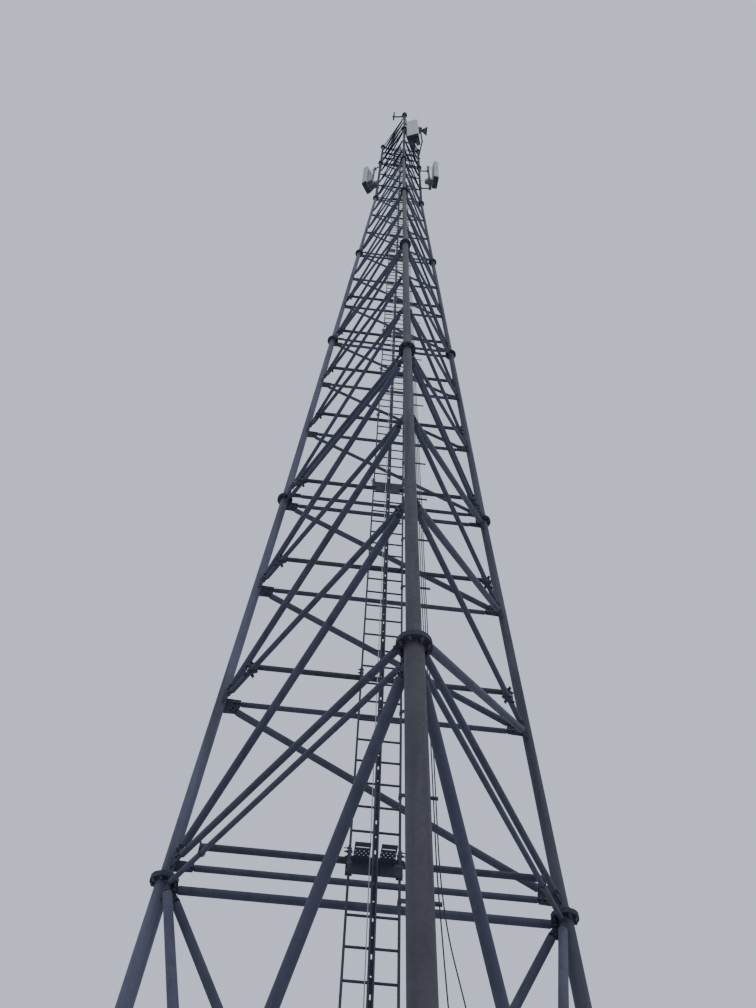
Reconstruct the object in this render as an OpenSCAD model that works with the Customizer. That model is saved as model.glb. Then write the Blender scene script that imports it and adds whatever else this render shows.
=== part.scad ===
// Self-supporting three-legged lattice tower for radio antennas, in galvanised tube.
// The origin is the middle of the underside of the front leg's base plate, +Z is up,
// and +Y points from the front leg into the tower, towards its back face.

/* [Tower] */
// Height of one bolted tower section
section_h = 6000; // [5000:100:6000]
// Height of the short parallel section at the very top
crown_h = 3600; // [3000:50:3600]
// Face width between leg centres at the base plates
base_w = 4250; // [4000:10:4600]
// Face width where the taper changes, two sections up
knee_w = 3030; // [2800:10:3300]
// Face width of the parallel part, from five sections up
top_w = 1545; // [1450:5:1700]

/* [Legs] */
// Outside diameter of the leg tube in each section, from the ground up
leg_d = [141.3, 114.3, 114.3, 101.6, 88.9, 88.9, 88.9]; // [80:0.1:150]
// Wall of the leg tubes
leg_wall = 6.3; // [4:0.1:8]
// Width of each flange ring beyond its tube, on every side
flange_rim = 57; // [50:1:64]
// Thickness of one flange ring
flange_t = 22; // [16:1:30]
// Diameter of the round base plates
foot_d = 420; // [400:5:480]
// Thickness of the base plates
foot_t = 30; // [20:1:40]
// Diameter of the circle of anchor bolts
anchor_pcd = 330; // [320:5:350]
// Diameter of the anchor holes
anchor_hole_d = 30; // [22:1:34]

/* [Bracing] */
// Outside diameter of the crossed braces of the bottom section
cross_d = 82.5; // [70:0.1:90]
// Outside diameter of the horizontals in each section
beam_d = [48.3, 60.3, 57, 54, 48.3, 42.4, 42.4]; // [38:0.1:64]
// Outside diameter of the lowest horizontal of the back face
back_beam_d = 76.1; // [60:0.1:80]
// Outside diameter of the diagonals in each section above the bottom one
diagonal_d = [76.1, 57, 57, 54, 48.3, 48.3]; // [42:0.1:80]
// Thickness of the gusset plates on the legs
gusset_t = 12; // [8:1:16]
// Thickness of the tongue plates at the bar ends
tongue_t = 10; // [6:1:14]
// Height of the lowest horizontal above a flange joint
above_joint = 145; // [130:5:180]
// Depth of the highest horizontal below a flange joint
below_joint = 110; // [100:5:125]
// Depth of the bottom section's horizontal below its flange joint
first_below = 70; // [65:5:90]

/* [Ladder] */
// Distance between the middles of the two stiles
ladder_w = 430; // [400:5:460]
// Distance of the ladder behind the tower's axis
ladder_y = 360; // [345:1:370]
// Width of a stile, across the ladder
stile_w = 20; // [16:1:26]
// Depth of a stile, front to back
stile_depth = 40; // [30:1:46]
// Spacing of the rungs
rung_pitch = 250; // [225:5:300]
// Diameter of the rungs
rung_d = 22; // [18:1:25]
// Height of the ladder's top below the top of the legs
ladder_short = 100; // [60:10:400]
// Diameter of the beams that carry the ladder
ladder_beam_d = 60.3; // [48:0.1:66]
// Space between the back of the stiles and those beams
beam_gap = 48; // [40:1:60]
// Thickness of the brackets in that space
clamp_t = 8; // [6:0.5:10]

/* [Climbing rail] */
// Width of the fall-arrest rail in front of the rungs
rail_w = 54; // [50:1:58]
// Depth of the rail
rail_depth = 30; // [24:1:34]
// Wall of the rail
rail_t = 4; // [3:0.5:6]
// Diameter of the safety rope beside the rail
rope_d = 10; // [8:0.5:12]

/* [Rest platforms] */
// Width of one foot plate
step_w = 135; // [130:5:140]
// Reach of a foot plate in front of its band
step_depth = 257; // [250:1:270]
// Height of the band across the ladder
band_h = 118; // [110:1:130]
// Height of a band's top below the leg joint above it
band_drop = 90; // [80:5:100]
// Diameter of the holes in the foot plates
step_hole_d = 15; // [12:1:15]
// Spacing of those holes across the plate
step_hole_pitch = 37; // [34:1:38]

/* [Cables] */
// Diameter of the jumper cables below the antennas
jumper_d = 14; // [10:1:18]
// Diameter of the feeder cables
feeder_d = 12; // [8:1:16]
// Reach of the cable brackets from the ladder's middle
bracket_reach = 565; // [560:5:620]

/* [Antennas] */
// Height of the panel antennas
antenna_h = 2900; // [2600:50:3000]
// Width of the panel antennas
antenna_w = 440; // [300:10:480]
// Depth of the panel antennas
antenna_t = 200; // [140:5:220]
// Height of the front, right and left antenna above the lower arm of its pipe
antenna_up = [400, 1150, 820]; // [300:10:1200]
// Direction that each antenna faces, counted from the tower's right side
facing = [-110, 3, 145]; // [-180:1:180]
// Distance from each leg to its antenna pipe
mount_reach = [410, 360, 254]; // [250:1:420]
// Direction from each leg to its antenna pipe
mount_az = [15, -7, 148.7]; // [-10:0.1:155]
// Diameter of the antenna pipes
mount_d = 76.1; // [60:0.1:80]
// Diameter of the arms that carry them
arm_d = 48.3; // [42:0.1:54]
// Space between a pipe and the back of its antenna
antenna_gap = 80; // [60:1:100]
// Lean of the antennas, top outwards
antenna_tilt = 1.5; // [0:0.1:2]

/* [Hidden] */
$fn = 32;
gap = 0.3;              // between plates that are bolted together
sections = len(leg_d);
panels = [0, 3, 3, 3, 3, 3, 3];
leg_az = [-90, 30, 150];          // front, right and left leg
face_az = [-30, 90, 210];         // right, back and left face
tops = [for (i = [1:sections]) i == sections ? (i - 1) * section_h + crown_h : i * section_h];
tower_top = tops[sections - 1];
bar_n = gusset_t / 2 + gap + tongue_t / 2;   // from the middle of a gusset to that of a tongue
bar_side = [-1, 1, -1];      // the side faces carry their bars inside, the back face outside
slant_inset = 120;      // from a leg's axis to the end of a diagonal
slant_low = 65;         // from a horizontal up to the low end of a diagonal
slant_high = 70;        // from the high end of a diagonal up to its horizontal
cross_low = 330;        // from the foot of a leg up to the low end of a crossed brace
cross_inset = 170;      // from a leg's axis to that end
// the bars of the bottom section have shorter plates at their ends than those above it
function tongue(i) = i == 0 ? 65 : 95;      // bare length of the plate at a bar's end
function lap(i) = tongue(i) - 8;            // how far it lies on its gusset
function beam_inset(i) = i == 0 ? 80 : 135; // from a leg's axis to the end of a horizontal

function level(i) = i == 0 ? 0 : tops[i - 1];
function width(z) =
    z <= 2 * section_h ? base_w + (knee_w - base_w) * z / (2 * section_h)
    : z <= 5 * section_h ? knee_w + (top_w - knee_w) * (z - 2 * section_h) / (3 * section_h)
    : top_w;
function leg_r(z) = width(z) / sqrt(3);
function face_r(z) = width(z) / (2 * sqrt(3));
function tilt(i) = atan((face_r(level(i)) - face_r(level(i + 1))) / (level(i + 1) - level(i)));
function half_w(i, y) = width(level(i) + y * cos(tilt(i))) / 2;
function slant_h(i) = (level(i + 1) - level(i)) / cos(tilt(i));
// heights of the horizontals of section i, up the face
function node_y(i) = i == 0 ? [slant_h(0) - first_below]
    : [for (k = [0:panels[i]]) above_joint + (slant_h(i) - above_joint - below_joint) * k / panels[i]];
// true height of the axis of horizontal j of section i on face f
function node_z(i, j, f) = level(i) + node_y(i)[j] * cos(tilt(i)) + bar_side[f] * bar_n * sin(tilt(i));
function beam_size(i, f) = i == 0 && f == 1 ? back_beam_d : beam_d[i];
function slant_size(i) = i == 0 ? cross_d : diagonal_d[i - 1];
// both ends of diagonal j of section i, in the face
function slant_foot(i, j) = [-half_w(i, node_y(i)[j]) + slant_inset, node_y(i)[j] + slant_low];
function slant_head(i, j) =
    [half_w(i, node_y(i)[j + 1]) - slant_inset, node_y(i)[j + 1] - slant_high];
function slant_angle(i, j) = let (v = slant_head(i, j) - slant_foot(i, j)) atan2(v[1], v[0]);
// both ends of the crossed braces of the bottom section, on the right of the face
cross_foot = [half_w(0, cross_low) - cross_inset, cross_low];
cross_head = [half_w(0, node_y(0)[0]) - slant_inset, node_y(0)[0] - slant_high];
cross_angle = atan2(cross_head[1] - cross_foot[1], cross_head[0] + cross_foot[0]);
// place of leg k's axis at height z
function leg_at(k, z) = leg_r(z) * [cos(leg_az[k]), sin(leg_az[k])];

origin_shift = [0, leg_r(0), 0];

// Face i of section i: x runs along the face, y up it and z outwards
module on_face(i, az) {
    rotate([0, 0, az]) translate([face_r(level(i)), 0, level(i)])
        rotate([0, -tilt(i), 0]) rotate([90, 0, 90]) children();
}

// A flat plate in the face, t thick about its middle plane
module plate(points, t = gusset_t) {
    translate([0, 0, -t / 2]) linear_extrude(t) polygon(points);
}

// A round bar between two points
module rod(a, b, d) {
    v = b - a;
    translate(a) rotate([0, acos(v[2] / norm(v)), atan2(v[1], v[0])]) cylinder(h = norm(v), d = d);
}

// A cable swept along its route, which never runs straight along Y
cable_sides = 8;
function unit_v(v) = v / norm(v);
function heading(p, i) = unit_v((i > 0 ? unit_v(p[i] - p[i - 1]) : [0, 0, 0])
    + (i < len(p) - 1 ? unit_v(p[i + 1] - p[i]) : [0, 0, 0]));
function cable_ring(p, i, r) = let (t = heading(p, i), e = unit_v(cross([0, 1, 0], t)), f = cross(t, e))
    [for (k = [0:cable_sides - 1]) let (a = 360 * k / cable_sides) p[i] + r * (cos(a) * e + sin(a) * f)];
module cable(p, d) {
    n = cable_sides;
    last = len(p) - 1;
    polyhedron(
        points = [for (i = [0:last]) each cable_ring(p, i, d / 2)],
        faces = concat(
            [[for (k = [0:n - 1]) k]],
            [for (i = [0:last - 1], k = [0:n - 1])
                [i * n + k, (i + 1) * n + k, (i + 1) * n + (k + 1) % n, i * n + (k + 1) % n]],
            [[for (k = [0:n - 1]) last * n + n - 1 - k]]));
}

// A bar end's seat on a gusset: its two corners, s inboard of the leg and h above the joint
function seat(i, start, angle, half) = let (u = [cos(angle), sin(angle)], v = [sin(angle), -cos(angle)])
    [start + lap(i) * u + half * v, start + lap(i) * u - half * v];

// Gusset of a horizontal and of the brace that leaves it at this leg, if there is one
module gusset(i, y, side, dir = 0, angle = 0) {
    r = leg_d[i] / 2 - leg_wall / 2;
    s1 = beam_inset(i) + lap(i);
    rim = 45;
    half = slant_size(i) * 0.42 + 6;
    start = [slant_inset, dir > 0 ? slant_low : slant_high];
    ends = dir == 0 ? [] : seat(i, start, angle, half);
    reach = dir == 0 ? rim + 10 : start[1] + rim + 30;
    up = dir == 0 ? 1 : dir;
    plate(concat(
        [[side * (half_w(i, y - up * (rim + 10)) - r), y - up * (rim + 10)]],
        [for (p = concat([[s1, -rim], [s1, rim]], ends)) [side * (half_w(i, y) - p[0]), y + up * p[1]]],
        [[side * (half_w(i, y + up * reach) - r), y + up * reach]]));
}

// A tube of section i from a to b in the face plane, with a bolted tongue plate at each end
module bar(i, a, b, d, side) {
    v = b - a;
    len = norm(v);
    inside = 60;
    translate([a[0], a[1], side * bar_n]) rotate([0, 0, atan2(v[1], v[0])]) {
        translate([tongue(i), 0, 0]) rotate([0, 90, 0]) cylinder(h = len - 2 * tongue(i), d = d);
        for (x = [0, len - tongue(i) - inside])
            translate([x, -d * 0.42, -tongue_t / 2]) cube([tongue(i) + inside, d * 0.84, tongue_t]);
    }
}

// Gusset for the foot of a crossed brace
module foot_gusset(side) {
    r = leg_d[0] / 2 - leg_wall / 2;
    half = cross_d * 0.42 + 8;
    y = cross_low;
    ends = seat(0, [cross_inset, 0], cross_angle, half);
    plate(concat(
        [[side * (half_w(0, y - 90) - r), y - 90]],
        [for (p = concat([[cross_inset - 20, -70]], ends)) [side * (half_w(0, y) - p[0]), y + p[1]]],
        [[side * (half_w(0, y + 170) - r), y + 170]]));
}

// One leg of one section: tube, flange rings and the gussets of its two faces
module leg(i, k) {
    z0 = level(i);
    z1 = level(i + 1);
    r0 = leg_r(z0);
    r1 = leg_r(z1);
    lean = atan((r0 - r1) / (z1 - z0));
    d = leg_d[i];
    top = i == sections - 1;
    joint_d = max(d, leg_d[min(i + 1, sections - 1)]) + 2 * flange_rim;
    below_d = max(d, leg_d[max(i - 1, 0)]) + 2 * flange_rim;
    bottom = i == 0 ? foot_t / 2 : flange_t / 2;
    bore_foot = i == 0 ? foot_t : -50;
    translate(origin_shift) difference() {
        union() {
            rotate([0, 0, leg_az[k]]) {
                translate([r0, 0, z0]) rotate([0, -lean, 0])
                    translate([0, 0, bottom])
                        cylinder(h = (z1 - z0) / cos(lean) - bottom - flange_t / 2, d = d);
                translate([r1, 0, z1 - flange_t - gap]) cylinder(h = flange_t, d = joint_d);
                if (i > 0) translate([r0, 0, z0]) cylinder(h = flange_t, d = below_d);
                if (i == 0) translate([r0, 0, 0]) cylinder(h = foot_t, d = foot_d);
            }
            for (f = [k, (k + 2) % 3]) {
                side = f == k ? -1 : 1;
                on_face(i, face_az[f]) {
                    ys = node_y(i);
                    n = len(ys) - 1;
                    if (i == 0) {
                        foot_gusset(side);
                        gusset(0, ys[0], side, -1, cross_angle);
                    } else for (j = [0:n]) {
                        dir = side < 0 && j < n ? 1 : side > 0 && j > 0 ? -1 : 0;
                        angle = dir == 0 ? 0 : slant_angle(i, dir > 0 ? j : j - 1);
                        gusset(i, ys[j], side, dir, angle);
                    }
                }
            }
        }
        rotate([0, 0, leg_az[k]]) {
            translate([r0, 0, z0]) rotate([0, -lean, 0]) translate([0, 0, bore_foot])
                cylinder(h = (z1 - z0) / cos(lean) - bore_foot + (top ? -flange_t - 20 : 50),
                    d = d - 2 * leg_wall);
            if (i == 0) for (a = [30:60:330])
                translate([r0 + anchor_pcd / 2 * cos(a), anchor_pcd / 2 * sin(a), -1])
                    cylinder(h = foot_t + 2, d = anchor_hole_d);
        }
    }
}

// The crossed braces of one face of the bottom section, and its horizontal
module cross_braces(f) {
    share = cross_foot[0] / (cross_foot[0] + cross_head[0]);
    mid = [0, cross_foot[1] + share * (cross_head[1] - cross_foot[1])];
    back = (cross_d / 2 + 30) * [-cos(cross_angle), sin(cross_angle)];
    y = node_y(0)[0];
    splice = cross_d / 2 + 30 + lap(0);
    n = bar_side[f];
    translate(origin_shift) on_face(0, face_az[f]) {
        bar(0, [-cross_foot[0], cross_foot[1]], cross_head, cross_d, n);
        translate([mid[0], mid[1], 0]) rotate([0, 0, 180 - cross_angle])
            translate([-splice, -60, -gusset_t / 2]) cube([2 * splice, 120, gusset_t]);
        bar(0, cross_foot, mid - back, cross_d, n);
        bar(0, mid + back, [-cross_head[0], cross_head[1]], cross_d, n);
        bar(0, [-half_w(0, y) + beam_inset(0), y], [half_w(0, y) - beam_inset(0), y], beam_size(0, f), n);
    }
}

// Horizontals and diagonals of one face, over a run of sections
module face_braces(f, from, to) {
    n = bar_side[f];
    translate(origin_shift) for (i = [from:to]) on_face(i, face_az[f]) {
        ys = node_y(i);
        for (y = ys)
            bar(i, [-half_w(i, y) + beam_inset(i), y], [half_w(i, y) - beam_inset(i), y], beam_d[i], n);
        for (j = [0:len(ys) - 2]) bar(i, slant_foot(i, j), slant_head(i, j), slant_size(i), n);
    }
}

// The ladder: two stiles and the rungs welded between them
ladder_top = tower_top - ladder_short;
rung_foot = 210;        // height of the lowest rung
rung_n = floor((ladder_top - rung_foot - 60) / rung_pitch);
function rung_z(k) = rung_foot + k * rung_pitch;
stile_front = ladder_y - stile_depth / 2;
stile_back = ladder_y + stile_depth / 2;
stile_out = ladder_w / 2 + stile_w / 2;
module ladder() {
    translate(origin_shift) {
        for (s = [-1, 1]) {
            translate([s * ladder_w / 2 - stile_w / 2, stile_front, 0])
                cube([stile_w, stile_depth, ladder_top]);
            translate([s * ladder_w / 2 - 50, stile_front - 30, 0]) cube([100, stile_depth + 60, 10]);
        }
        for (k = [0:rung_n])
            rod([-ladder_w / 2, ladder_y, rung_z(k)], [ladder_w / 2, ladder_y, rung_z(k)], rung_d);
    }
}

// Beams that lie on the horizontals of the two side faces and carry the ladder
beam_y = stile_back + gap + beam_gap + ladder_beam_d / 2;
beam_joints = [[0, 0], [1, 1], [1, 2], [1, 3], [2, 1], [2, 2], [2, 3], [3, 1]];
module ladder_beams() {
    overhang = 25;
    clamp_h = 110;
    clamp_w = 90;
    translate(origin_shift) for (p = beam_joints) {
        z = node_z(p[0], p[1], 0) + (beam_d[p[0]] + ladder_beam_d) / 2 + gap;
        x = (face_r(z) - bar_n + beam_y / 2) / cos(30) + overhang;
        rod([-x, beam_y, z], [x, beam_y, z], ladder_beam_d);
        for (s = [-1, 1]) translate([s * ladder_w / 2 - clamp_w / 2, stile_back + gap, z - clamp_h / 2]) {
            cube([clamp_w, clamp_t, clamp_h]);
            for (e = [0, clamp_w - clamp_t]) translate([e, clamp_t - 1, clamp_h / 2 - 25])
                cube([clamp_t, beam_gap + ladder_beam_d / 2 - clamp_t, 50]);
        }
    }
}

// Flat arms that tie the ladder to the horizontals of the back face, higher up
arm_joints = [[3, 2], [3, 3], [4, 1], [4, 2], [4, 3], [5, 1], [5, 2], [5, 3], [6, 1], [6, 2]];
module ladder_arms() {
    arm_w = 40;
    lug = 6;
    translate(origin_shift) for (p = arm_joints, s = [-1, 1]) {
        z = node_z(p[0], p[1], 1) + beam_d[p[0]] / 2 + gap;
        far = face_r(z) + bar_n + 40;
        x = s > 0 ? stile_out + gap : -stile_out - gap - arm_w;
        translate([x, stile_front + 4, z]) cube([arm_w, far - stile_front - 4, 8]);
        translate([s > 0 ? stile_out + gap : -stile_out - gap - lug, stile_front + 4, z - 40])
            cube([lug, stile_depth - 8, 88]);
    }
}

// Slotted rail for the fall-arrest runner, in front of the bands and clipped to every sixth rung
band_t = 8;
band_back = stile_front - gap;
rail_back = band_back - band_t - gap;
rail_foot = 150;
clip_h = 30;
function band_z(i) = level(i) - band_drop - band_h / 2;
function clear_of_bands(z) = min([for (i = [1:6]) abs(z - band_z(i))]) > (band_h + clip_h) / 2 + 5;
module climbing_rail() {
    w = rail_w / 2;
    lip = 14;
    rung_front = ladder_y - rung_d / 2 - gap;
    translate(origin_shift) {
        translate([0, rail_back, rail_foot])
            linear_extrude(ladder_top - rail_foot - 50) polygon([
                [-w, 0], [w, 0], [w, -rail_depth], [w - lip, -rail_depth], [w - lip, -rail_depth + rail_t],
                [w - rail_t, -rail_depth + rail_t], [w - rail_t, -rail_t], [rail_t - w, -rail_t],
                [rail_t - w, -rail_depth + rail_t], [lip - w, -rail_depth + rail_t], [lip - w, -rail_depth],
                [-w, -rail_depth]]);
        for (k = [3:6:rung_n - 2]) if (clear_of_bands(rung_z(k)))
            translate([-20, rail_back - rail_t / 2, rung_z(k) - clip_h / 2])
                cube([40, rung_front - rail_back + rail_t / 2, clip_h]);
    }
}

// Taut wire rope beside the rail, with the brackets that hold its two ends on a rung
rope_out = 20;          // from the rail's side to the rope's axis
rope_x = -rail_w / 2 - rope_out;
rope_y = rail_back - rail_depth - 20;
module safety_rope() {
    zs = [for (k = [1, rung_n - 1]) rung_z(k)];
    translate(origin_shift) {
        rod([rope_x, rope_y, zs[0] - 60], [rope_x, rope_y, zs[1] + 60], rope_d);
        for (z = zs) translate([rope_x - 20, rope_y - 15, z - 4])
            cube([rope_out + 16, ladder_y - rung_d / 2 - gap - rope_y + 15, 8]);
    }
}

// Perforated foot plate: a raised lip at its front edge, a long slot and five rows of holes
step_t = 6;
module foot_plate() {
    strip = 42;
    slot = 18;
    lip_h = 26;
    row_pitch = 30;
    first = 102;
    difference() {
        cube([step_w, step_depth, step_t]);
        translate([8, strip, -1]) cube([step_w - 16, slot, step_t + 2]);
        translate([step_w / 2, first, -1]) for (row = [0:4]) {
            n = row % 2 == 0 ? 4 : 3;
            for (c = [0:n - 1])
                translate([(c - (n - 1) / 2) * step_hole_pitch, row * row_pitch, 0])
                    cylinder(h = step_t + 2, d = step_hole_d);
        }
    }
    cube([step_w, step_t, lip_h]);
}

// Rest platforms: a band across the ladder below each leg joint, with two foot plates
module rest_platforms() {
    band_x = stile_out + 20;
    right_x = rail_w / 2 + 4;
    left_x = rail_w / 2 + rope_out + rope_d / 2 + 4;
    translate(origin_shift) for (i = [1:6]) translate([0, band_back, band_z(i)]) {
        translate([-band_x, -band_t, -band_h / 2]) cube([2 * band_x, band_t, band_h]);
        for (x = [-left_x - step_w, right_x])
            translate([x, -band_t - step_depth + 1, band_h / 2 - step_t]) foot_plate();
    }
}

// Flat brackets that hold the feeder cables, each on a collar round the right stile between two rungs
bracket_t = 6;
bracket_y = stile_front - gap - bracket_t;
above_rung = 0.56;      // place of a bracket between two rungs, as a share of their spacing
function near_rung(z) =
    rung_foot + rung_pitch * (round((z - rung_foot) / rung_pitch - above_rung) + above_rung);
function bracket_z() = [for (i = [0:sections - 1]) let (n = i == sections - 1 ? 3 : 6)
    for (k = [0:n - 1]) near_rung(level(i) + (k + 0.6) * (level(i + 1) - level(i)) / n)];
module cable_brackets() {
    h = 40;
    wall = 6;
    inner = ladder_w / 2 - stile_w / 2 - gap - wall;
    translate(origin_shift) for (z = bracket_z()) if (z < ladder_top - 100) {
        translate([inner, bracket_y, z - h / 2]) cube([bracket_reach - inner, bracket_t, h]);
        translate([inner, stile_front - gap, z - h / 2]) difference() {
            cube([stile_w + 2 * (wall + gap), stile_depth + 2 * gap + wall, h]);
            translate([wall, -1, -1]) cube([stile_w + 2 * gap, stile_depth + 2 * gap + 1, h + 2]);
        }
    }
}

// Heights of the two arms of each antenna pipe: offsets from two of the upper section's horizontals
arm_nodes = [[2, 3], [1, 3], [1, 3]];
arm_off = [[-675, -340], [290, -490], [-280, -490]];
function arm_z(k, a) = node_z(5, arm_nodes[k][a], 0) + arm_off[k][a];
function antenna_z(k) = arm_z(k, 0) + antenna_up[k];
function pipe_at(k) = leg_at(k, tower_top) + mount_reach[k] * [cos(mount_az[k]), sin(mount_az[k])];
function turned(v, a) = [v[0] * cos(a) - v[1] * sin(a), v[0] * sin(a) + v[1] * cos(a)];
module at_pipe(k, z = 0) {
    p = pipe_at(k);
    translate(origin_shift) translate([p[0], p[1], z]) rotate([0, 0, facing[k]]) children();
}

// Remote radio units, two on each antenna pipe, one on either side
unit = [240, 150, 420];
unit_side = [1, 1, -1];
unit_up = [[300, 1000], [300, -900], [300, -600]];   // from the underside of the antenna
unit_back = 20;
unit_off = mount_d / 2 + 20;
module remote_units() {
    for (k = [0:2], u = [0, 1]) {
        side = unit_side[k] * (u == 0 ? 1 : -1);
        at_pipe(k, antenna_z(k) + unit_up[k][u]) {
            translate([-unit_back - unit[0] / 2, side > 0 ? unit_off : -unit_off - unit[1], 0]) cube(unit);
            for (h = [60, unit[2] - 100])
                translate([-unit_back, side > 0 ? mount_d / 2 + gap : -unit_off - 1, h])
                    cube([40, unit_off - mount_d / 2 + 1 - gap, 40]);
        }
    }
}

// Feeder cables from the ground up the right side of the ladder, then out to a radio unit each
feeder_y = bracket_y - gap - feeder_d / 2;
plug_x = -unit_back - 85;
function unit_at(k) = pipe_at(k) + turned([plug_x, unit_side[k] * (unit_off + unit[1] / 2)], facing[k]);
function unit_foot(k, down) = let (p = unit_at(k)) [p[0], p[1], antenna_z(k) + unit_up[k][0] - down];
feeder_routes = [
    [[750, 0], [740, 800], [700, 2600], [620, 4200], [579, 4820], [552, 5340], [530, 5830], [520, 6400],
        [480, 9600], [420, 14800], [340, 22200], [300, 31600]],
    [[1080, 0], [1060, 900], [960, 2900], [830, 4200], [711, 4820], [605, 5340], [557, 5830], [543, 6400],
        [503, 9600], [443, 14800], [363, 22200], [323, 31800]],
    [[520, 0], [515, 1200], [500, 4800], [490, 6400], [455, 9600], [395, 14800], [315, 22200],
        [277, 31400]]];
feeder_ends = [
    [[430, 130, 32600], [550, -110, 33080], [600, -430, 33500], [550, -690, 33650]],
    [[520, 300, 32350], [720, 270, 32780], [920, 320, 33080], [960, 440, 33400]],
    [[310, 415, 31850], [-250, 415, 32350], [-600, 600, 32480]]];
module feeder_cables() {
    translate(origin_shift) for (k = [0:2])
        cable(concat([for (p = feeder_routes[k]) [p[0], feeder_y, p[1]]], feeder_ends[k],
            [unit_foot(k, 160), unit_foot(k, gap)]), feeder_d);
}

// Jumper cables that hang in a loop from the antenna sockets to the unit beside the antenna
socket_x = 35;
socket_down = 45;
antenna_back = mount_d / 2 + antenna_gap;
function socket_y(j) = (j - 1.5) * antenna_w * 0.2;
module jumper_cables() {
    plug_pitch = 45;
    first_plug = -unit_back - 15;
    for (k = [0:2]) at_pipe(k, antenna_z(k)) for (j = [1:3]) {
        s = unit_side[k];
        a = [antenna_back + antenna_t / 2 - socket_x, s * socket_y(j)];
        b = [first_plug + (j - 1) * plug_pitch, s * (unit_off + unit[1] / 2)];
        mid = (a + b) / 2;
        cable([[a[0], a[1], -socket_down - gap], [a[0], a[1], -120], [a[0] - 20, a[1] + s * 4, -190],
            [mid[0], mid[1], -250], [b[0] + 12, b[1] - s * 6, -180], [b[0], b[1], -60],
            [b[0], b[1], unit_up[k][0] - gap]], jumper_d);
    }
}

// Pipe behind an antenna, and the two arms that clamp it to its leg
module antenna_mount(k) {
    clamp_h = 120;
    wall = 12;
    over = 130;
    p = pipe_at(k);
    foot = min(arm_z(k, 0), antenna_z(k)) - over;
    at_pipe(k, foot) cylinder(h = antenna_z(k) + antenna_h - 200 - foot, d = mount_d);
    translate(origin_shift) for (a = [0, 1]) {
        z = arm_z(k, a);
        q = leg_at(k, z);
        d = leg_d[5];
        out = [cos(mount_az[k]), sin(mount_az[k]), 0];
        rod([q[0], q[1], z] + (d / 2 + 6) * out, [p[0], p[1], z], arm_d);
        translate([q[0], q[1], z - clamp_h / 2]) difference() {
            cylinder(h = clamp_h, d = d + 2 * wall);
            translate([0, 0, -1]) cylinder(h = clamp_h + 2, d = d + 2 * gap);
        }
    }
}

// A rounded rectangle about the origin
module rounded(w, t, r) {
    square([w - 2 * r, t], center = true);
    square([w, t - 2 * r], center = true);
    for (x = [-1, 1], y = [-1, 1]) translate([x * (w / 2 - r), y * (t / 2 - r)]) circle(r);
}

// Panel antenna with its end caps, sockets and the two brackets on its pipe
module antenna(k) {
    cap = 12;
    bracket_w = 100;
    at_pipe(k, antenna_z(k)) {
        translate([antenna_back + antenna_t / 2, 0, 0]) rotate([0, antenna_tilt, 0]) {
            rotate([0, 0, 90]) {
                linear_extrude(antenna_h) rounded(antenna_w, antenna_t, 45);
                translate([0, 0, -cap]) linear_extrude(20) rounded(antenna_w - 20, antenna_t - 20, 38);
            }
            for (x = [-socket_x, socket_x], j = [0:3])
                translate([x, socket_y(j), -socket_down]) cylinder(h = socket_down, d = 26);
        }
        for (z = [350, antenna_h - 350])
            translate([mount_d / 2 + gap, -bracket_w / 2, z])
                cube([antenna_gap + 40 + z * sin(antenna_tilt), bracket_w, 60]);
    }
}

// Obstruction light on top of the front leg
module beacon() {
    p = leg_at(0, tower_top);
    translate(origin_shift) translate([p[0], p[1], tower_top]) {
        cylinder(h = 20, d = 150);
        cylinder(h = 60, d = 90);
        translate([0, 0, 60]) cylinder(h = 50, d = 230);
        translate([0, 0, 110]) cylinder(h = 130, d = 190);
        translate([0, 0, 240]) cylinder(h = 30, d = 220);
        translate([0, 0, 270]) cylinder(h = 25, d = 60);
    }
}

// A clamp ring round a leg of the top section, for an arm
module leg_ring(k, z, h) {
    p = leg_at(k, z);
    d = leg_d[sections - 1];
    translate([p[0], p[1], z - h / 2]) difference() {
        cylinder(h = h, d = d + 24);
        translate([0, 0, -1]) cylinder(h = h + 2, d = d + 2 * gap);
    }
}

// Short arm with a cross piece at the top of the front leg
module side_arm() {
    p = leg_at(0, tower_top);
    z = node_z(6, 3, 0) - 240;
    start = -leg_d[sections - 1] / 2 - 6;
    translate(origin_shift) {
        translate([p[0], p[1], z]) {
            rod([start, 0, 0], [-500, 60, 0], 60.3);
            rod([-450, -130, 0], [-450, 190, 0], 60.3);
            rod([-520, 30, 0], [-450, 30, 0], 48.3);
        }
        leg_ring(0, z, 100);
    }
}

// Horn antenna with its radio box, on an arm from the right leg
module horn_antenna() {
    p = leg_at(1, tower_top);
    z = node_z(6, 2, 0) - 375;
    elbow = [p[0] + 60, -230, z];
    post = [p[0] - 30, -500, z];
    box = [170, 250, 200];
    translate(origin_shift) {
        rod([p[0], p[1] - leg_d[sections - 1] / 2 - 6, z], elbow, 60.3);
        translate(elbow - [0, 0, 40]) cylinder(h = 80, d = 80);
        rod(elbow, post, 60.3);
        translate(post - [0, 0, 40]) cylinder(h = 420, d = 60.3);
        leg_ring(1, z, 120);
        translate(post + [0, -100, 240]) {
            translate([-box[0] + 20, -box[1] / 2, -box[2] / 2]) cube(box);
            translate([19, -45, -45]) cube([40, 90, 90]);
            hull() {
                translate([40, -50, -50]) cube([10, 100, 100]);
                translate([220, -160, -130]) cube([12, 320, 260]);
            }
        }
    }
}

leg_names = ["front", "right", "left"];
face_names = ["right", "back", "left"];

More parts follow.
